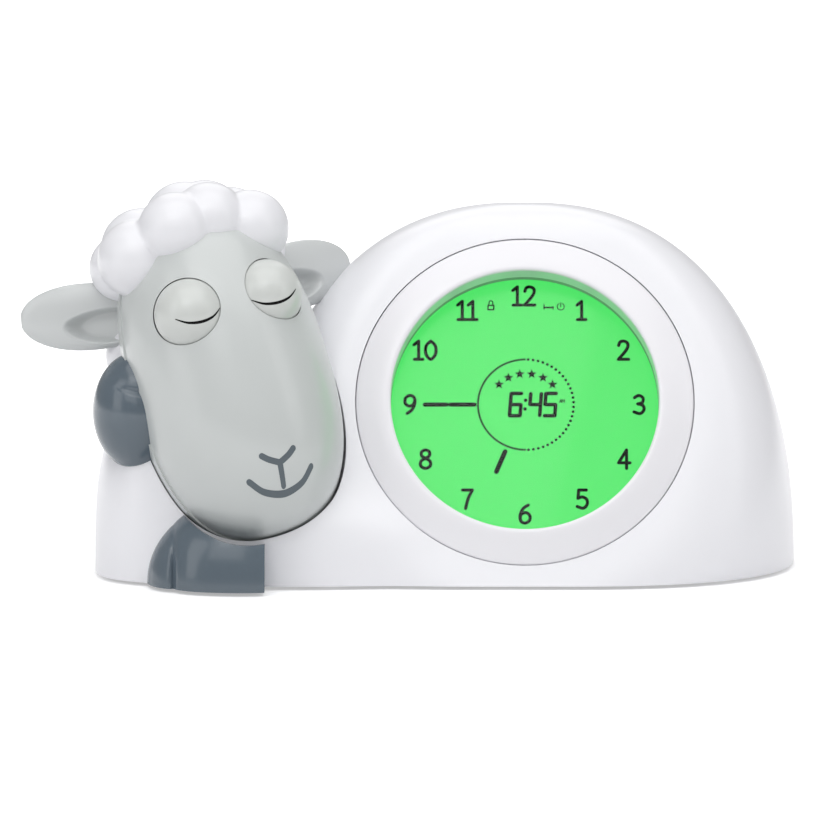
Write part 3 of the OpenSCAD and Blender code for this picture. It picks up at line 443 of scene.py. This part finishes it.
def lit_lcd():
    m = bpy.data.materials.new("lcd_green")
    m.use_nodes = True
    nt = m.node_tree
    b = nt.nodes["Principled BSDF"]
    b.inputs["Base Color"].default_value = lin(16, 60, 24)
    b.inputs["Roughness"].default_value = 0.5
    pos = nt.nodes.new("ShaderNodeTexCoord")
    n = nt.nodes.new("ShaderNodeTexNoise")
    n.inputs["Scale"].default_value = 25
    n.inputs["Detail"].default_value = 1
    nt.links.new(pos.outputs["Object"], n.inputs["Vector"])
    mix = nt.nodes.new("ShaderNodeMix")
    mix.data_type = "RGBA"
    mix.inputs[6].default_value = lin(76, 234, 103)
    mix.inputs[7].default_value = lin(84, 240, 111)
    nt.links.new(n.outputs["Fac"], mix.inputs[0])
    nt.links.new(mix.outputs[2], b.inputs["Emission Color"])
    # the glass shows at full strength, and little of its green falls on the pieces near it
    seen = either_ray(nt, "Is Camera Ray", "Is Transmission Ray")
    nt.links.new(ranged(nt, seen, 0.3, 0.88), b.inputs["Emission Strength"])
    return m


def clear_window():
    m = bpy.data.materials.new("clear_window")
    m.use_nodes = True
    b = m.node_tree.nodes["Principled BSDF"]
    b.inputs["Base Color"].default_value = (0.97, 1.0, 0.98, 1)
    b.inputs["Roughness"].default_value = 0.03
    b.inputs["Transmission Weight"].default_value = 1.0
    b.inputs["IOR"].default_value = 1.2
    b.inputs["Specular IOR Level"].default_value = 0.3
    return m


M["lcd"], M["window"] = lit_lcd(), clear_window()

# ---- housing ----
stand(front, M["white"], "housing", ["front_shell"], name="front_shell_looks")
stand(rear, M["white"], "housing", ["rear_cover"], name="rear_cover_looks")


# ---- head ----
def head_half(g, y0, y1):
    """The head's shell, enlarged by g, without what lies between two depths."""
    return cut(head_form("head", g, 128, 224),
               [head_form("cut", -HEAD_WALL, 64, 96), block(-FAR, FAR, y0, y1, -FAR, FAR, HEAD)])


face = head_half(0, 0, FAR)
cut(face, [ball(HEAD, (s * EYE_X, -EYE_OUT, EYE_UP), EYE_R + GAP) for s in (-1, 1)])
stand(face, M["face"], "housing", ["face_shell"], name="face_looks")
stand(head_half(BACK_GROW, -FAR, 0.05), M["face"], "housing", ["head_back"], name="head_back_looks")

# lobes of the wool: height on the head, how far out, radius, and bearings from the face
CURLS = [(48, 3, 8.7, (-76,)), (48, 2.5, 8.6, (60,)), (53, 3.5, 8.3, (-28,)), (54, 2.5, 8.2, (20,)),
         (48, 5.5, 7, (-106,)), (52, 2, 9.5, (-98, 104, 152, 204)), (56, 7, 9, (70,)), (57, 0, 9.5, (0,)),
         (44, -0.5, 9, (110,)), (44, 2, 9.5, (142, 176, 212)), (30, -2.5, 9, (128,)),
         (32, 1.5, 9.5, (154, 184, 214)), (19, 1, 9, (148, 188, 222))]
# each lobe is set in towards the core of the wool and enlarged by as much, as in the source
PUFF, WOOL_CORE = 3.5, Vector((0, 0, 22))
# the cap under the lobes ends at the hairline and at both sides
HAIRLINE, HAIR_LEAN, CAP_GROW, CAP_HALF = 39.5, 24.0, 3.2, 25


def wool():
    """Lobes and cap, melted into one skin."""
    bm = bmesh.new()
    for z, out, r, bearings in CURLS:
        for deg in bearings:
            d = max(0.0, float(head_radius(z)) + out)
            c = Vector((d * math.sin(math.radians(deg)), -d * math.cos(math.radians(deg)), z))
            c -= PUFF * (c - WOOL_CORE).normalized()
            bmesh.ops.create_icosphere(bm, subdivisions=4, radius=r + PUFF, matrix=Matrix.Translation(c))
    o = from_bm("wool", bm)
    cap = revolve("cap", head_profile(CAP_GROW, 64), None, 96)
    hair_plane = Matrix.Translation((0, 0, HAIRLINE)) @ rot("X", -HAIR_LEAN)
    cut(cap, [block(-FAR, FAR, -FAR, FAR, -FAR, 0, hair_plane), block(-FAR, -CAP_HALF, -FAR, FAR, -FAR, FAR),
              block(CAP_HALF, FAR, -FAR, FAR, -FAR, FAR)])
    o = merged([o, cap], "wool", HEAD)
    melt = o.modifiers.new("melt", "REMESH")
    melt.mode, melt.voxel_size = "VOXEL", 0.7
    smooth = o.modifiers.new("smooth", "SMOOTH")
    smooth.factor, smooth.iterations = 0.5, 3
    return bake(o)


stand(wool(), M["wool"], "housing", ["wool_cap"], name="wool_looks", sharp=80)

EAR_AT, EAR_LONG, EAR_HALF, EAR_BACK, EAR_FRONT, EAR_DISH = (19, 9, 30.5), 38, 10.5, 5, 2.9, 4.6
EAR_WIDEST = 0.45


def ear(side, droop, node):
    """Sections across the ear. Its front is low, with an oval dish let into the lower half from the root on."""
    t = np.linspace(0, 1, 121)
    full = np.where(t < EAR_WIDEST, quarter((EAR_WIDEST - t) / 0.62, 2), quarter((t - EAR_WIDEST) / 0.56, 2.1))
    T, A = np.meshgrid(t, -2 * np.pi * np.arange(144) / 144, indexing="ij")
    F = full[:, None]
    oval = ((T - 0.1) / 0.56) ** 2 + ((np.cos(A) + 0.3) / 0.58) ** 2
    dish = np.clip((1 - oval) / 0.5, 0, 1)
    dish = dish * dish * (3 - 2 * dish)
    y = np.where(np.sin(A) > 0, EAR_BACK * F * np.sin(A), EAR_FRONT * F * np.sin(A) + EAR_DISH * F * dish)
    rings = np.stack([T * EAR_LONG, y, EAR_HALF * F * np.cos(A)], -1)
    m = HEAD @ Matrix.Translation((side * EAR_AT[0], *EAR_AT[1:])) @ Matrix.Diagonal((side, 1, 1, 1)) \
        @ rot("Z", 22) @ rot("Y", -droop) @ rot("X", 8)
    stand(loft(node, rings, m), M["ear"], "housing", [node], name=node + "_looks", sharp=80)


ear(-1, 14, "left_ear")
ear(1, 3, "right_ear")


def egg(at, r):
    bm = bmesh.new()
    bmesh.ops.create_uvsphere(bm, u_segments=300, v_segments=150, radius=1,
                              matrix=Matrix.Translation(at) @ Matrix.Diagonal((*r, 1)) @ rot("Y", 90))
    return from_bm("egg", bm)


def chin_sweep():
    """The chin and everything in front of it, which the hoof below keeps clear of."""
    head = head_form("sweep", BACK_GROW + 0.06, 64, 128)
    points = [v.co.copy() for v in head.data.vertices]
    drop(head)
    bm = bmesh.new()
    for forward in (0, 40):
        for p in points:
            bm.verts.new(p + Vector((0, -forward, forward * math.tan(math.radians(LOOK_DOWN)))))
    hull = bmesh.ops.convex_hull(bm, input=bm.verts)
    inside = {v for v in hull["geom_interior"] + hull["geom_unused"] if isinstance(v, bmesh.types.BMVert)}
    bmesh.ops.delete(bm, geom=list(inside), context="VERTS")
    return from_bm("sweep", bm)


def hoof(node, at, r, off, turn, cuts, edge, deepest, fades, start, length):
    """An egg whose skin sinks along the cleft between two soft toes. The cleft lies off the middle, turned round Y,
    and fades out over a length in one direction."""
    o = egg(at, r)
    co = np.empty(len(o.data.vertices) * 3)
    o.data.vertices.foreach_get("co", co)
    co = co.reshape(-1, 3)
    middle, across = np.array(at, float), np.array(rot("Y", -turn).to_3x3().col[0])
    d = (co - middle) @ across - off
    deep = deepest * (0.6 * np.exp(-(d / 0.75) ** 2) + 0.4 * np.exp(-(d / 3.2) ** 2))
    deep *= np.clip(1 - ((co - middle) @ np.array(fades, float) - start) / length, 0, 1)
    out = co - middle - np.outer((co - middle) @ across, across)
    out /= np.maximum(1e-6, np.linalg.norm(out, axis=1))[:, None]
    co -= out * deep[:, None]
    o.data.vertices.foreach_set("co", co.ravel())
    cut(o, cuts)
    stand(o, M["hoof"], "housing", [node], name=node + "_looks", sharp=50, rounded=edge)


HOOF_END = -80.4
below_and_beside = [block(-FAR, FAR, -FAR, FAR, -FAR, 0), block(HOOF_END, FAR, -FAR, FAR, -FAR, FAR)]
hoof("lower_hoof", at=(-88, 8, 0), r=(29, 21, 27), off=-20.6, turn=0, cuts=below_and_beside + [chin_sweep()],
     edge=0.2, deepest=2.4, fades=(0, 0, 1), start=9, length=11)
hoof("upper_hoof", at=(-120, 20, 52), r=(14, 15, 18.5), off=7.5, turn=78, cuts=[],
     edge=0, deepest=1.8, fades=(-1, 0, 0), start=-4, length=12)


# ---- eyes ----
# where the flat inner face of an eye is from its middle, and how far the balls are set in
INNER_FACE, SUNK = 2.6 - EYE_X, 0.05


def at_eye(s):
    return HEAD @ Matrix.Diagonal((s, 1, 1, 1)) @ Matrix.Translation((EYE_X, -EYE_OUT, EYE_UP)) @ rot("Y", 90)


def eye_arc(r):
    """From the flat inner face of an eye to its outer pole."""
    a0 = math.degrees(math.asin(INNER_FACE / r))
    angles = [math.radians(a0 + (90 - a0) * i / 64) for i in range(65)]
    return [(r * math.cos(a), r * math.sin(a)) for a in angles]


def eye_caps(r, around, arc):
    """A whole ball or half of one for each eye, closed at its inner face."""
    profile = [(0.0001, INNER_FACE)] + eye_arc(r)
    return fix(merged([revolve("cap", profile, at_eye(s), around, arc) for s in (-1, 1)], "caps"))


# a ball inside the lid, and a larger half ball at the back, which shows when the eyes are open
eyes = merged([eye_caps(EYE_R - LID - SUNK, 192, 360), eye_caps(EYE_R - SUNK, 96, 180)], "eyeballs_looks")
stand(eyes, M["ball"], "eyes", ["eyeballs"], sharp=30)
lid_profile = eye_arc(EYE_R) + eye_arc(EYE_R - LID)[::-1]
lids = [revolve("lid", lid_profile, at_eye(s) @ rot("Z", 180), 96, 180) for s in (-1, 1)]
stand(fix(merged(lids, "eyelids_looks")), M["lid"], "eyes", ["eyelids"], sharp=40)


# ---- drawn strokes: ribbons laid on a surface ----
def ribbon(points, width, taper):
    """Left, middle and right lines of a rounded stroke along 2-D points."""
    n = 8
    p = np.asarray(points, float)
    d = np.gradient(p, axis=0)
    d /= np.maximum(1e-9, np.linalg.norm(d, axis=1))[:, None]
    nrm = np.stack([-d[:, 1], d[:, 0]], 1)
    w = np.full(len(p), width / 2)
    if taper:
        w = w * (0.25 + 0.75 * np.sin(np.linspace(0.02, math.pi - 0.02, len(p))))
    rows = []
    for end, sign in ((0, -1), (-1, 1)):
        cap = []
        for k in range(1, n + 1):
            a = math.pi / 2 * k / n
            off = math.sin(a) * w[end]
            cap.append((p[end] + sign * d[end] * off, nrm[end], math.cos(a) * w[end]))
        rows.append(cap)
    seq = rows[0][::-1] + [(p[i], nrm[i], w[i]) for i in range(len(p))] + rows[1]
    return [(c + m * h, c, c - m * h) for c, m, h in seq]


def inked(name, strokes, place, mat, body, high=0.05):
    """place(u, v, height) gives a point in the design frame."""
    verts, faces = [], []
    for pts, width, *rest in strokes:
        rows = ribbon(pts, width, bool(rest))
        base = len(verts)
        for l, c, r in rows:
            verts += [place(l[0], l[1], 0.0), place(c[0], c[1], high), place(r[0], r[1], 0.0)]
        for i in range(len(rows) - 1):
            a = base + 3 * i
            faces += [(a, a + 1, a + 4, a + 3), (a + 1, a + 2, a + 5, a + 4)]
    stand(mesh(name, verts, faces), mat, body, sharp=60)


def curve(pts, n=14):
    """Smooth curve through 2-D points."""
    p = np.asarray([pts[0]] + list(pts) + [pts[-1]], float)
    out = []
    for i in range(1, len(p) - 2):
        for t in np.linspace(0, 1, n, endpoint=False):
            a, b, c, d = p[i - 1], p[i], p[i + 1], p[i + 2]
            out.append(0.5 * ((2 * b) + (c - a) * t + (2 * a - 5 * b + 4 * c - d) * t ** 2
                              + (3 * b - a - 3 * c + d) * t ** 3))
    return out + [p[-2]]


def line(a, b, n=6):
    return [np.array(a, float) + (np.array(b, float) - np.array(a, float)) * i / n for i in range(n + 1)]


LCD_H = RING_PROUD - WINDOW_DEEP - WINDOW_T - 0.1


def on_lcd(u, v, h):
    return DIAL @ Vector((u, v, LCD_H + 0.02 + h * 0.8))


def on_face(u, v, h):
    b = u / 28.0
    r = float(head_radius(v)) + 0.02 + h
    return HEAD @ Vector((r * math.sin(b), -r * math.cos(b), v))


def on_ball(s, rear=False):
    def place(u, v, h):
        r = EYE_R + 0.02 + h - (SUNK if rear else 0)
        b, e = u / EYE_R, v / EYE_R
        y = r * math.cos(b) * math.cos(e)
        return HEAD @ Vector((s * EYE_X + r * math.sin(b) * math.cos(e), -EYE_OUT + (y if rear else -y),
                              EYE_UP + r * math.sin(e)))
    return place


# nose and mouth of a plain sleeping sheep
nose = [(curve([(s * 5.2, -27.0), (s * 3.2, -28.6), (0, -30.2)]), 1.9) for s in (-1, 1)]
nose += [(line((0, -30.2), (0, -37.0), 8), 1.9),
         (curve([(-11.5, -33.4), (-7.5, -37.4), (0, -39.2), (7.5, -37.4), (11.5, -33.4)]), 2.1)]
inked("nose_print", nose, on_face, M["print"], "housing")
for s, side in ((-1, "left"), (1, "right")):
    inked("lash_" + side, [(curve([(-8.0, -1.6), (-4.4, -3.9), (0, -4.7), (4.4, -3.9), (8.0, -1.6)]), 0.95, 1)],
          on_ball(s), M["black"], "eyes", 0.12)


def pupil(s, side):
    place = on_ball(s, True)
    n, rings, radius = 48, 6, 3.6
    verts = [place(0, 0, 0.05)]
    for k in range(1, rings + 1):
        for i in range(n):
            a = 2 * math.pi * i / n
            verts.append(place(radius * k / rings * math.cos(a), radius * k / rings * math.sin(a), 0.05))
    faces = [(0, 1 + i, 1 + (i + 1) % n) for i in range(n)]
    for k in range(rings - 1):
        for i in range(n):
            a, b = 1 + k * n + i, 1 + k * n + (i + 1) % n
            faces.append((a, a + n, b + n, b))
    stand(mesh("pupil_" + side, verts, faces), M["black"], "eyes", sharp=60)


pupil(-1, "left")
pupil(1, "right")

# ---- display ----
# the ring's profile, radius and height: rim at the seat, crown, and sleeve round the window
RING_R, RING_FOOT = SEAT_R - GAP, RING_PROUD - WINDOW_DEEP
# heights on the window's wall: its top, and where the painted shade line at its foot begins
SLEEVE_TOP, SHADE_LINE_TOP = 1.9, -5.0
rim = [(RING_R - 0.7 + 0.7 * math.cos(math.radians(a)), -0.5 + 0.75 * math.sin(math.radians(a))) for a in (20, 45, 70)]
crown = [(50.6, 0.75), (48.6, 1.45), (46.4, 2.35), (44.2, 3.0), (43.2, 3.2), (42.5, RING_PROUD), (42.0, 3.12),
         (41.72, 2.8), (WINDOW_R, 2.35)]
sleeve = [(WINDOW_R, SLEEVE_TOP), (WINDOW_R, SHADE_LINE_TOP), (WINDOW_R, RING_FOOT), (WINDOW_R + SLEEVE_T, RING_FOOT),
          (WINDOW_R + SLEEVE_T, -SEAT_DEEP)]
ring = revolve("ring", [(RING_R, -SEAT_DEEP), (RING_R, -0.5)] + rim + crown + sleeve, DIAL, 256)
# the wall round the window is painted with green light from the lit display, and ends in a painted shade line at the
# window
to_dial, painted_wall_part = DIAL.inverted(), []
for p in ring.data.polygons:
    c = to_dial @ p.center
    outside = math.hypot(c.x, c.y) > WINDOW_R + 0.01 or c.z > SLEEVE_TOP
    painted_wall_part.append(0 if outside else (1 if c.z > SHADE_LINE_TOP else 2))
stand(ring, M["ring"], "housing", ["bezel_ring"], name="bezel_ring_looks", sharp=50)
ring.data.materials.append(M["sleeve"])
ring.data.materials.append(M["painted_shade_line"])
ring.data.polygons.foreach_set("material_index", painted_wall_part)

# strokes of each character, a unit high: curves (c) and straight lines (l)
STROKES = {
    "0": [("c", [(0.28, 1.0), (0.06, 0.78), (0.0, 0.5), (0.06, 0.22), (0.28, 0.0), (0.5, 0.22), (0.56, 0.5),
                 (0.5, 0.78), (0.28, 1.0)])],
    "1": [("l", [(0.06, 0.8), (0.3, 1.0)]), ("l", [(0.3, 1.0), (0.3, 0.0)]), ("l", [(0.08, 0.0), (0.52, 0.0)])],
    "2": [("c", [(0.04, 0.76), (0.12, 0.95), (0.3, 1.0), (0.5, 0.9), (0.52, 0.68), (0.36, 0.4), (0.02, 0.0)]),
          ("l", [(0.02, 0.0), (0.56, 0.0)])],
    "3": [("c", [(0.05, 0.88), (0.28, 1.0), (0.5, 0.86), (0.46, 0.62), (0.22, 0.54)]),
          ("c", [(0.22, 0.54), (0.5, 0.44), (0.54, 0.2), (0.34, 0.01), (0.02, 0.1)])],
    "4": [("l", [(0.42, 1.0), (0.0, 0.3)]), ("l", [(0.0, 0.3), (0.6, 0.3)]), ("l", [(0.42, 1.0), (0.42, 0.0)])],
    "5": [("l", [(0.5, 1.0), (0.1, 1.0)]), ("l", [(0.1, 1.0), (0.06, 0.55)]),
          ("c", [(0.06, 0.55), (0.3, 0.62), (0.52, 0.48), (0.54, 0.22), (0.34, 0.01), (0.02, 0.1)])],
    "6": [("c", [(0.46, 0.98), (0.18, 0.78), (0.03, 0.4), (0.08, 0.1), (0.3, 0.0), (0.52, 0.14), (0.54, 0.4),
                 (0.34, 0.57), (0.1, 0.48), (0.04, 0.32)])],
    "7": [("l", [(0.02, 1.0), (0.54, 1.0)]), ("c", [(0.54, 1.0), (0.32, 0.55), (0.18, 0.0)])],
    "8": [("c", [(0.28, 0.55), (0.08, 0.68), (0.08, 0.9), (0.28, 1.0), (0.48, 0.9), (0.48, 0.68), (0.28, 0.55),
                 (0.04, 0.38), (0.04, 0.12), (0.28, 0.0), (0.52, 0.12), (0.52, 0.38), (0.28, 0.55)])],
    "9": [("c", [(0.5, 0.66), (0.44, 0.5), (0.22, 0.42), (0.02, 0.58), (0.04, 0.86), (0.26, 1.0), (0.48, 0.9),
                 (0.53, 0.6), (0.38, 0.22), (0.12, 0.02)])],
    "A": [("l", [(0.0, 0.0), (0.3, 1.0)]), ("l", [(0.3, 1.0), (0.6, 0.0)]), ("l", [(0.1, 0.34), (0.5, 0.34)])],
    "M": [("l", [(0.0, 0.0), (0.0, 1.0)]), ("l", [(0.0, 1.0), (0.35, 0.35)]), ("l", [(0.35, 0.35), (0.7, 1.0)]),
          ("l", [(0.7, 1.0), (0.7, 0.0)])],
}


def glyph(ch, x, y, h, w):
    """A character h high with its lower left corner at x and y, in strokes w wide."""
    out = []
    for kind, pts in STROKES[ch]:
        pts = [(x + p[0] * h, y + p[1] * h) for p in pts]
        out.append(((curve(pts) if kind == "c" else line(*pts)), w))
    return out


def word(text, cx, cy, h, w):
    """Digits h high with their middle at cx and cy. A 1 beside another digit takes less room."""
    gap = 0.2
    narrow = [c == "1" and len(text) > 1 for c in text]
    widths = [0.36 if n else 0.56 for n in narrow]
    total = sum(widths) + gap * (len(text) - 1)
    x, out = cx - total * h / 2, []
    for c, n, wide in zip(text, narrow, widths):
        out += glyph(c, x - (0.1 * h if n else 0), cy - h / 2, h, w)
        x += (wide + gap) * h
    return out


def dot(x, y, r):
    return (line((x - 0.01, y), (x + 0.01, y), 2), 2 * r)


def dots(count, first, step, r):
    """Dots round the small dial, at angles from its top."""
    angles = [math.radians(first + step * k) for k in range(count)]
    return [dot(SMALL_X + 14.9 * math.sin(a), MID + 14.6 * math.cos(a), r) for a in angles]


SEG = {"6": "afedcg", "4": "fgbc", "5": "afgcd"}
SEG_W, SEG_H, SEG_GAP, SEG_SLANT = 3.3, 7.2, 0.12, 0.08


def seven(ch, x, y):
    """A seven-segment digit with its lower left corner at x and y."""
    w, h, half, g = SEG_W, SEG_H, SEG_H / 2, SEG_GAP
    ends = {"a": (g, h, w - g, h), "g": (g, half, w - g, half), "d": (g, 0, w - g, 0),
            "f": (0, half + g, 0, h - g), "e": (0, g, 0, half - g), "b": (w, half + g, w, h - g),
            "c": (w, g, w, half - g)}
    out = []
    for segment in SEG[ch]:
        x0, y0, x1, y1 = ends[segment]
        out.append((line((x + x0 + SEG_SLANT * y0, y + y0), (x + x1 + SEG_SLANT * y1, y + y1), 4), 1.15))
    return out


# height of the dial's middle over the window's, and the small dial's middle
MID, SMALL_X = 1.45, 0.4
ink = []
for k in range(1, 13):
    a = math.radians(30 * k)
    ink += word(str(k), 35.6 * math.sin(a), MID + 35.2 * math.cos(a), 5.9, 1.0)
# minute hand in two parts, and hour hand
ink += [(line((-31.0, MID), (-24.3, MID)), 1.35), (line((-23.0, MID), (-15.6, MID)), 1.35),
        (line((-6.1, MID - 15.2), (-8.8, MID - 21.6)), 1.5)]
ink += dots(30, 3, 6, 0.42) + dots(60, -1.5, -3, 0.37)
for ch, x in (("6", -4.7), ("4", 1.4), ("5", 6.1)):
    ink += seven(ch, x, MID - SEG_H / 2)
ink += [dot(0.15, MID - 1.4, 0.55), dot(0.35, MID + 1.4, 0.55)]
ink += glyph("A", 10.9, MID + 0.6, 1.1, 0.22) + glyph("M", 11.7, MID + 0.6, 1.1, 0.22)
# padlock
box = [(-11.3, 33.6), (-9.5, 33.6), (-9.5, 32.2), (-11.3, 32.2)]
ink += [(line(box[k], box[(k + 1) % 4]), 0.45) for k in range(4)]
ink += [(curve([(-11.0, 33.7), (-10.9, 34.8), (-10.4, 35.1), (-9.9, 34.8), (-9.8, 33.7)]), 0.35)]
# bed
ink += [(line((6.2, 33.9), (6.2, 32.4)), 0.35), (line((6.2, 32.9), (9.0, 32.9)), 0.5),
        (line((9.0, 33.2), (9.0, 32.4)), 0.35)]
# timer
turns = [math.radians(30 + 30 * k) for k in range(11)]
ink += [(curve([(11.4 + 1.1 * math.sin(a), 33.2 + 1.1 * math.cos(a)) for a in turns], 5), 0.3),
        (line((11.4, 33.2), (11.4, 34.5)), 0.3)]
inked("lcd_marks", ink, on_lcd, M["black"], "housing", 0.04)


def stars():
    """Six stars on an arc inside the small dial."""
    verts, faces = [], []
    for k in range(6):
        a = math.radians(-47 + 94 * k / 5)
        cx, cy = SMALL_X + 11.4 * math.sin(a), MID + 11.0 * math.cos(a) - 1.0
        base = len(verts)
        verts.append(on_lcd(cx, cy, 0.05))
        for i in range(10):
            r, b = (1.65, 0.68)[i % 2], math.radians(36 * i)
            verts.append(on_lcd(cx + r * math.sin(b), cy + r * math.cos(b), 0.02))
        faces += [(base, base + 1 + (i + 1) % 10, base + 1 + i) for i in range(10)]
    stand(mesh("lcd_stars", verts, faces), M["black"], "housing", sharp=60)


stars()


# ---- key symbols ----
def on_cap(x0, z0):
    """The keys' tops are shallow dishes."""
    y = PANEL_Y + KEY_PROUD - KEY_DISH + 0.02
    return lambda u, v, h: Vector((x0 - u, y + h + KEY_DISH * min(1, math.hypot(u, v) / KEY_DISH_R), z0 + v))


clock_face = [(1.8 * math.sin(math.radians(a)), 1.8 * math.cos(math.radians(a))) for a in range(0, 361, 30)]
SYMBOLS = [
    ("set", [(curve(clock_face, 4), 0.4), (line((0, 0), (0, 1.2)), 0.4), (line((0, 0), (0.9, 0)), 0.4)]),
    ("alarm", [(curve([(-1.6, -0.9), (-1.1, 0.2), (-0.9, 1.1), (0, 1.8), (0.9, 1.1), (1.1, 0.2), (1.6, -0.9)]), 0.4),
               (line((-1.8, -1.0), (1.8, -1.0)), 0.4), (line((-0.4, -1.7), (0.4, -1.7)), 0.4)]),
    ("nap", [(line((-2, 1.2), (-2, -1.2)), 0.4), (line((-2, -0.4), (2, -0.4)), 0.6),
             (line((2, -0.2), (2, -1.2)), 0.4)]),
    ("light", [(curve([(0.9, 1.8), (-0.9, 1.2), (-1.4, 0), (-0.9, -1.2), (0.9, -1.8)]), 0.4),
               (curve([(0.9, 1.8), (-0.1, 0.8), (-0.1, -0.8), (0.9, -1.8)]), 0.4)]),
    ("plus", [(line((-1.6, 0), (1.6, 0)), 0.5), (line((0, -1.6), (0, 1.6)), 0.5)]),
    ("minus", [(line((-1.6, 0), (1.6, 0)), 0.5)]),
]
for (name, strokes), p in zip(SYMBOLS, KEYS):
    inked("symbol_" + name, strokes, on_cap(*p), M["print"], "key_" + name, 0.03)

# ---- nodes shown as they are ----
REMADE = {"front_shell", "rear_cover", "face_shell", "head_back", "wool_cap", "left_ear", "right_ear", "upper_hoof",
          "lower_hoof", "eyeballs", "eyelids", "bezel_ring"}
SHOWN = {"white": ("base_plate", "battery_door"), "rubber": ("rubber_feet",), "window": ("display_lens",),
         "lcd": ("lcd_panel",), "diff": ("diffuser",), "frame": ("lcd_frame",), "board": ("main_pcb", "key_pcb"),
         "led": ("light_leds",), "blackp": ("tact_switches", "speaker"), "cell": ("batteries",),
         "slider": ("power_slider", "lock_slider", "eye_bracket"), "gear": ("eye_gear", "idler_gear", "motor_pinion"),
         "key": ["key_" + name for name, _ in SYMBOLS]}
looks = {node: name for name, nodes in SHOWN.items() for node in nodes}
for node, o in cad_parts.items():
    if node in REMADE:
        continue
    for slot in o.material_slots:
        slot.link, slot.material = "OBJECT", M[looks.get(node, "steel")]
    if looks.get(node) in ("white", "key") or node.endswith("_slider"):
        soft_edges(o, 0.3)

# ---- floor, light and camera ----
bpy.ops.mesh.primitive_plane_add(size=8)
floor = bpy.context.object
floor.name = "floor"
fm = bpy.data.materials.new("floor_white")
fm.use_nodes = True
nt = fm.node_tree
b = nt.nodes["Principled BSDF"]
b.inputs["Base Color"].default_value = (0.86, 0.86, 0.87, 1)
b.inputs["Roughness"].default_value = 0.6
# the glow grows away from the object, so the floor fades into plain white
place = nt.nodes.new("ShaderNodeTexCoord")
away = nt.nodes.new("ShaderNodeVectorMath")
away.operation = "LENGTH"
nt.links.new(place.outputs["Object"], away.inputs[0])
amount = nt.nodes.new("ShaderNodeMath")
amount.operation = "MULTIPLY"
nt.links.new(either_ray(nt, "Is Camera Ray", "Is Glossy Ray"), amount.inputs[0])
nt.links.new(ranged(nt, away.outputs["Value"], 0.40, 1.0, 0.12, 0.7), amount.inputs[1])
b.inputs["Emission Color"].default_value = (1, 1, 1, 1)
nt.links.new(amount.outputs[0], b.inputs["Emission Strength"])
floor.data.materials.append(fm)

world = bpy.data.worlds.new("studio")
bpy.context.scene.world = world
world.use_nodes = True
nt = world.node_tree
bg = nt.nodes["Background"]
bg.inputs["Color"].default_value = (1, 1, 1, 1)
seen = either_ray(nt, "Is Camera Ray", "Is Transmission Ray")
nt.links.new(ranged(nt, seen, 0.36, 1.0), bg.inputs["Strength"])


def lamp(name, at, aim, size, watts, tall=None):
    l = bpy.data.lights.new(name, "AREA")
    l.energy, l.size = watts, size
    if tall:
        l.shape, l.size_y = "RECTANGLE", tall
    o = bpy.data.objects.new(name, l)
    bpy.context.scene.collection.objects.link(o)
    o.location = at
    o.rotation_euler = (Vector(aim) - Vector(at)).to_track_quat("-Z", "Y").to_euler()


lamp("top", (0.05, -0.3, 1.1), (0, 0, 0.05), 1.3, 8.0)
lamp("front", (-0.35, -1.1, 1.05), (0, 0, 0.06), 0.9, 3.1)
lamp("left", (-0.95, -0.6, 0.5), (-0.05, 0, 0.06), 0.5, 1.9, 0.9)
lamp("right", (1.0, -0.5, 0.55), (0.03, 0, 0.06), 0.4, 1.3, 0.9)
lamp("behind", (0.0, 0.9, 0.9), (0, 0, 0.05), 0.9, 2.4)

cam = bpy.data.cameras.new("camera")
cam.lens, cam.sensor_width = 424.9, 36.0
cam.clip_start, cam.clip_end = 0.05, 20
camera = bpy.data.objects.new("camera", cam)
bpy.context.scene.collection.objects.link(camera)
target, distance, e = Vector((0.0001, -0.0135, 0.0535)), 3.0, math.radians(LOOK_DOWN)
camera.location = target + distance * Vector((0, -math.cos(e), math.sin(e)))
camera.rotation_euler = (target - camera.location).to_track_quat("-Z", "Y").to_euler()
bpy.context.scene.camera = camera
bpy.context.scene.view_settings.view_transform = "Standard"
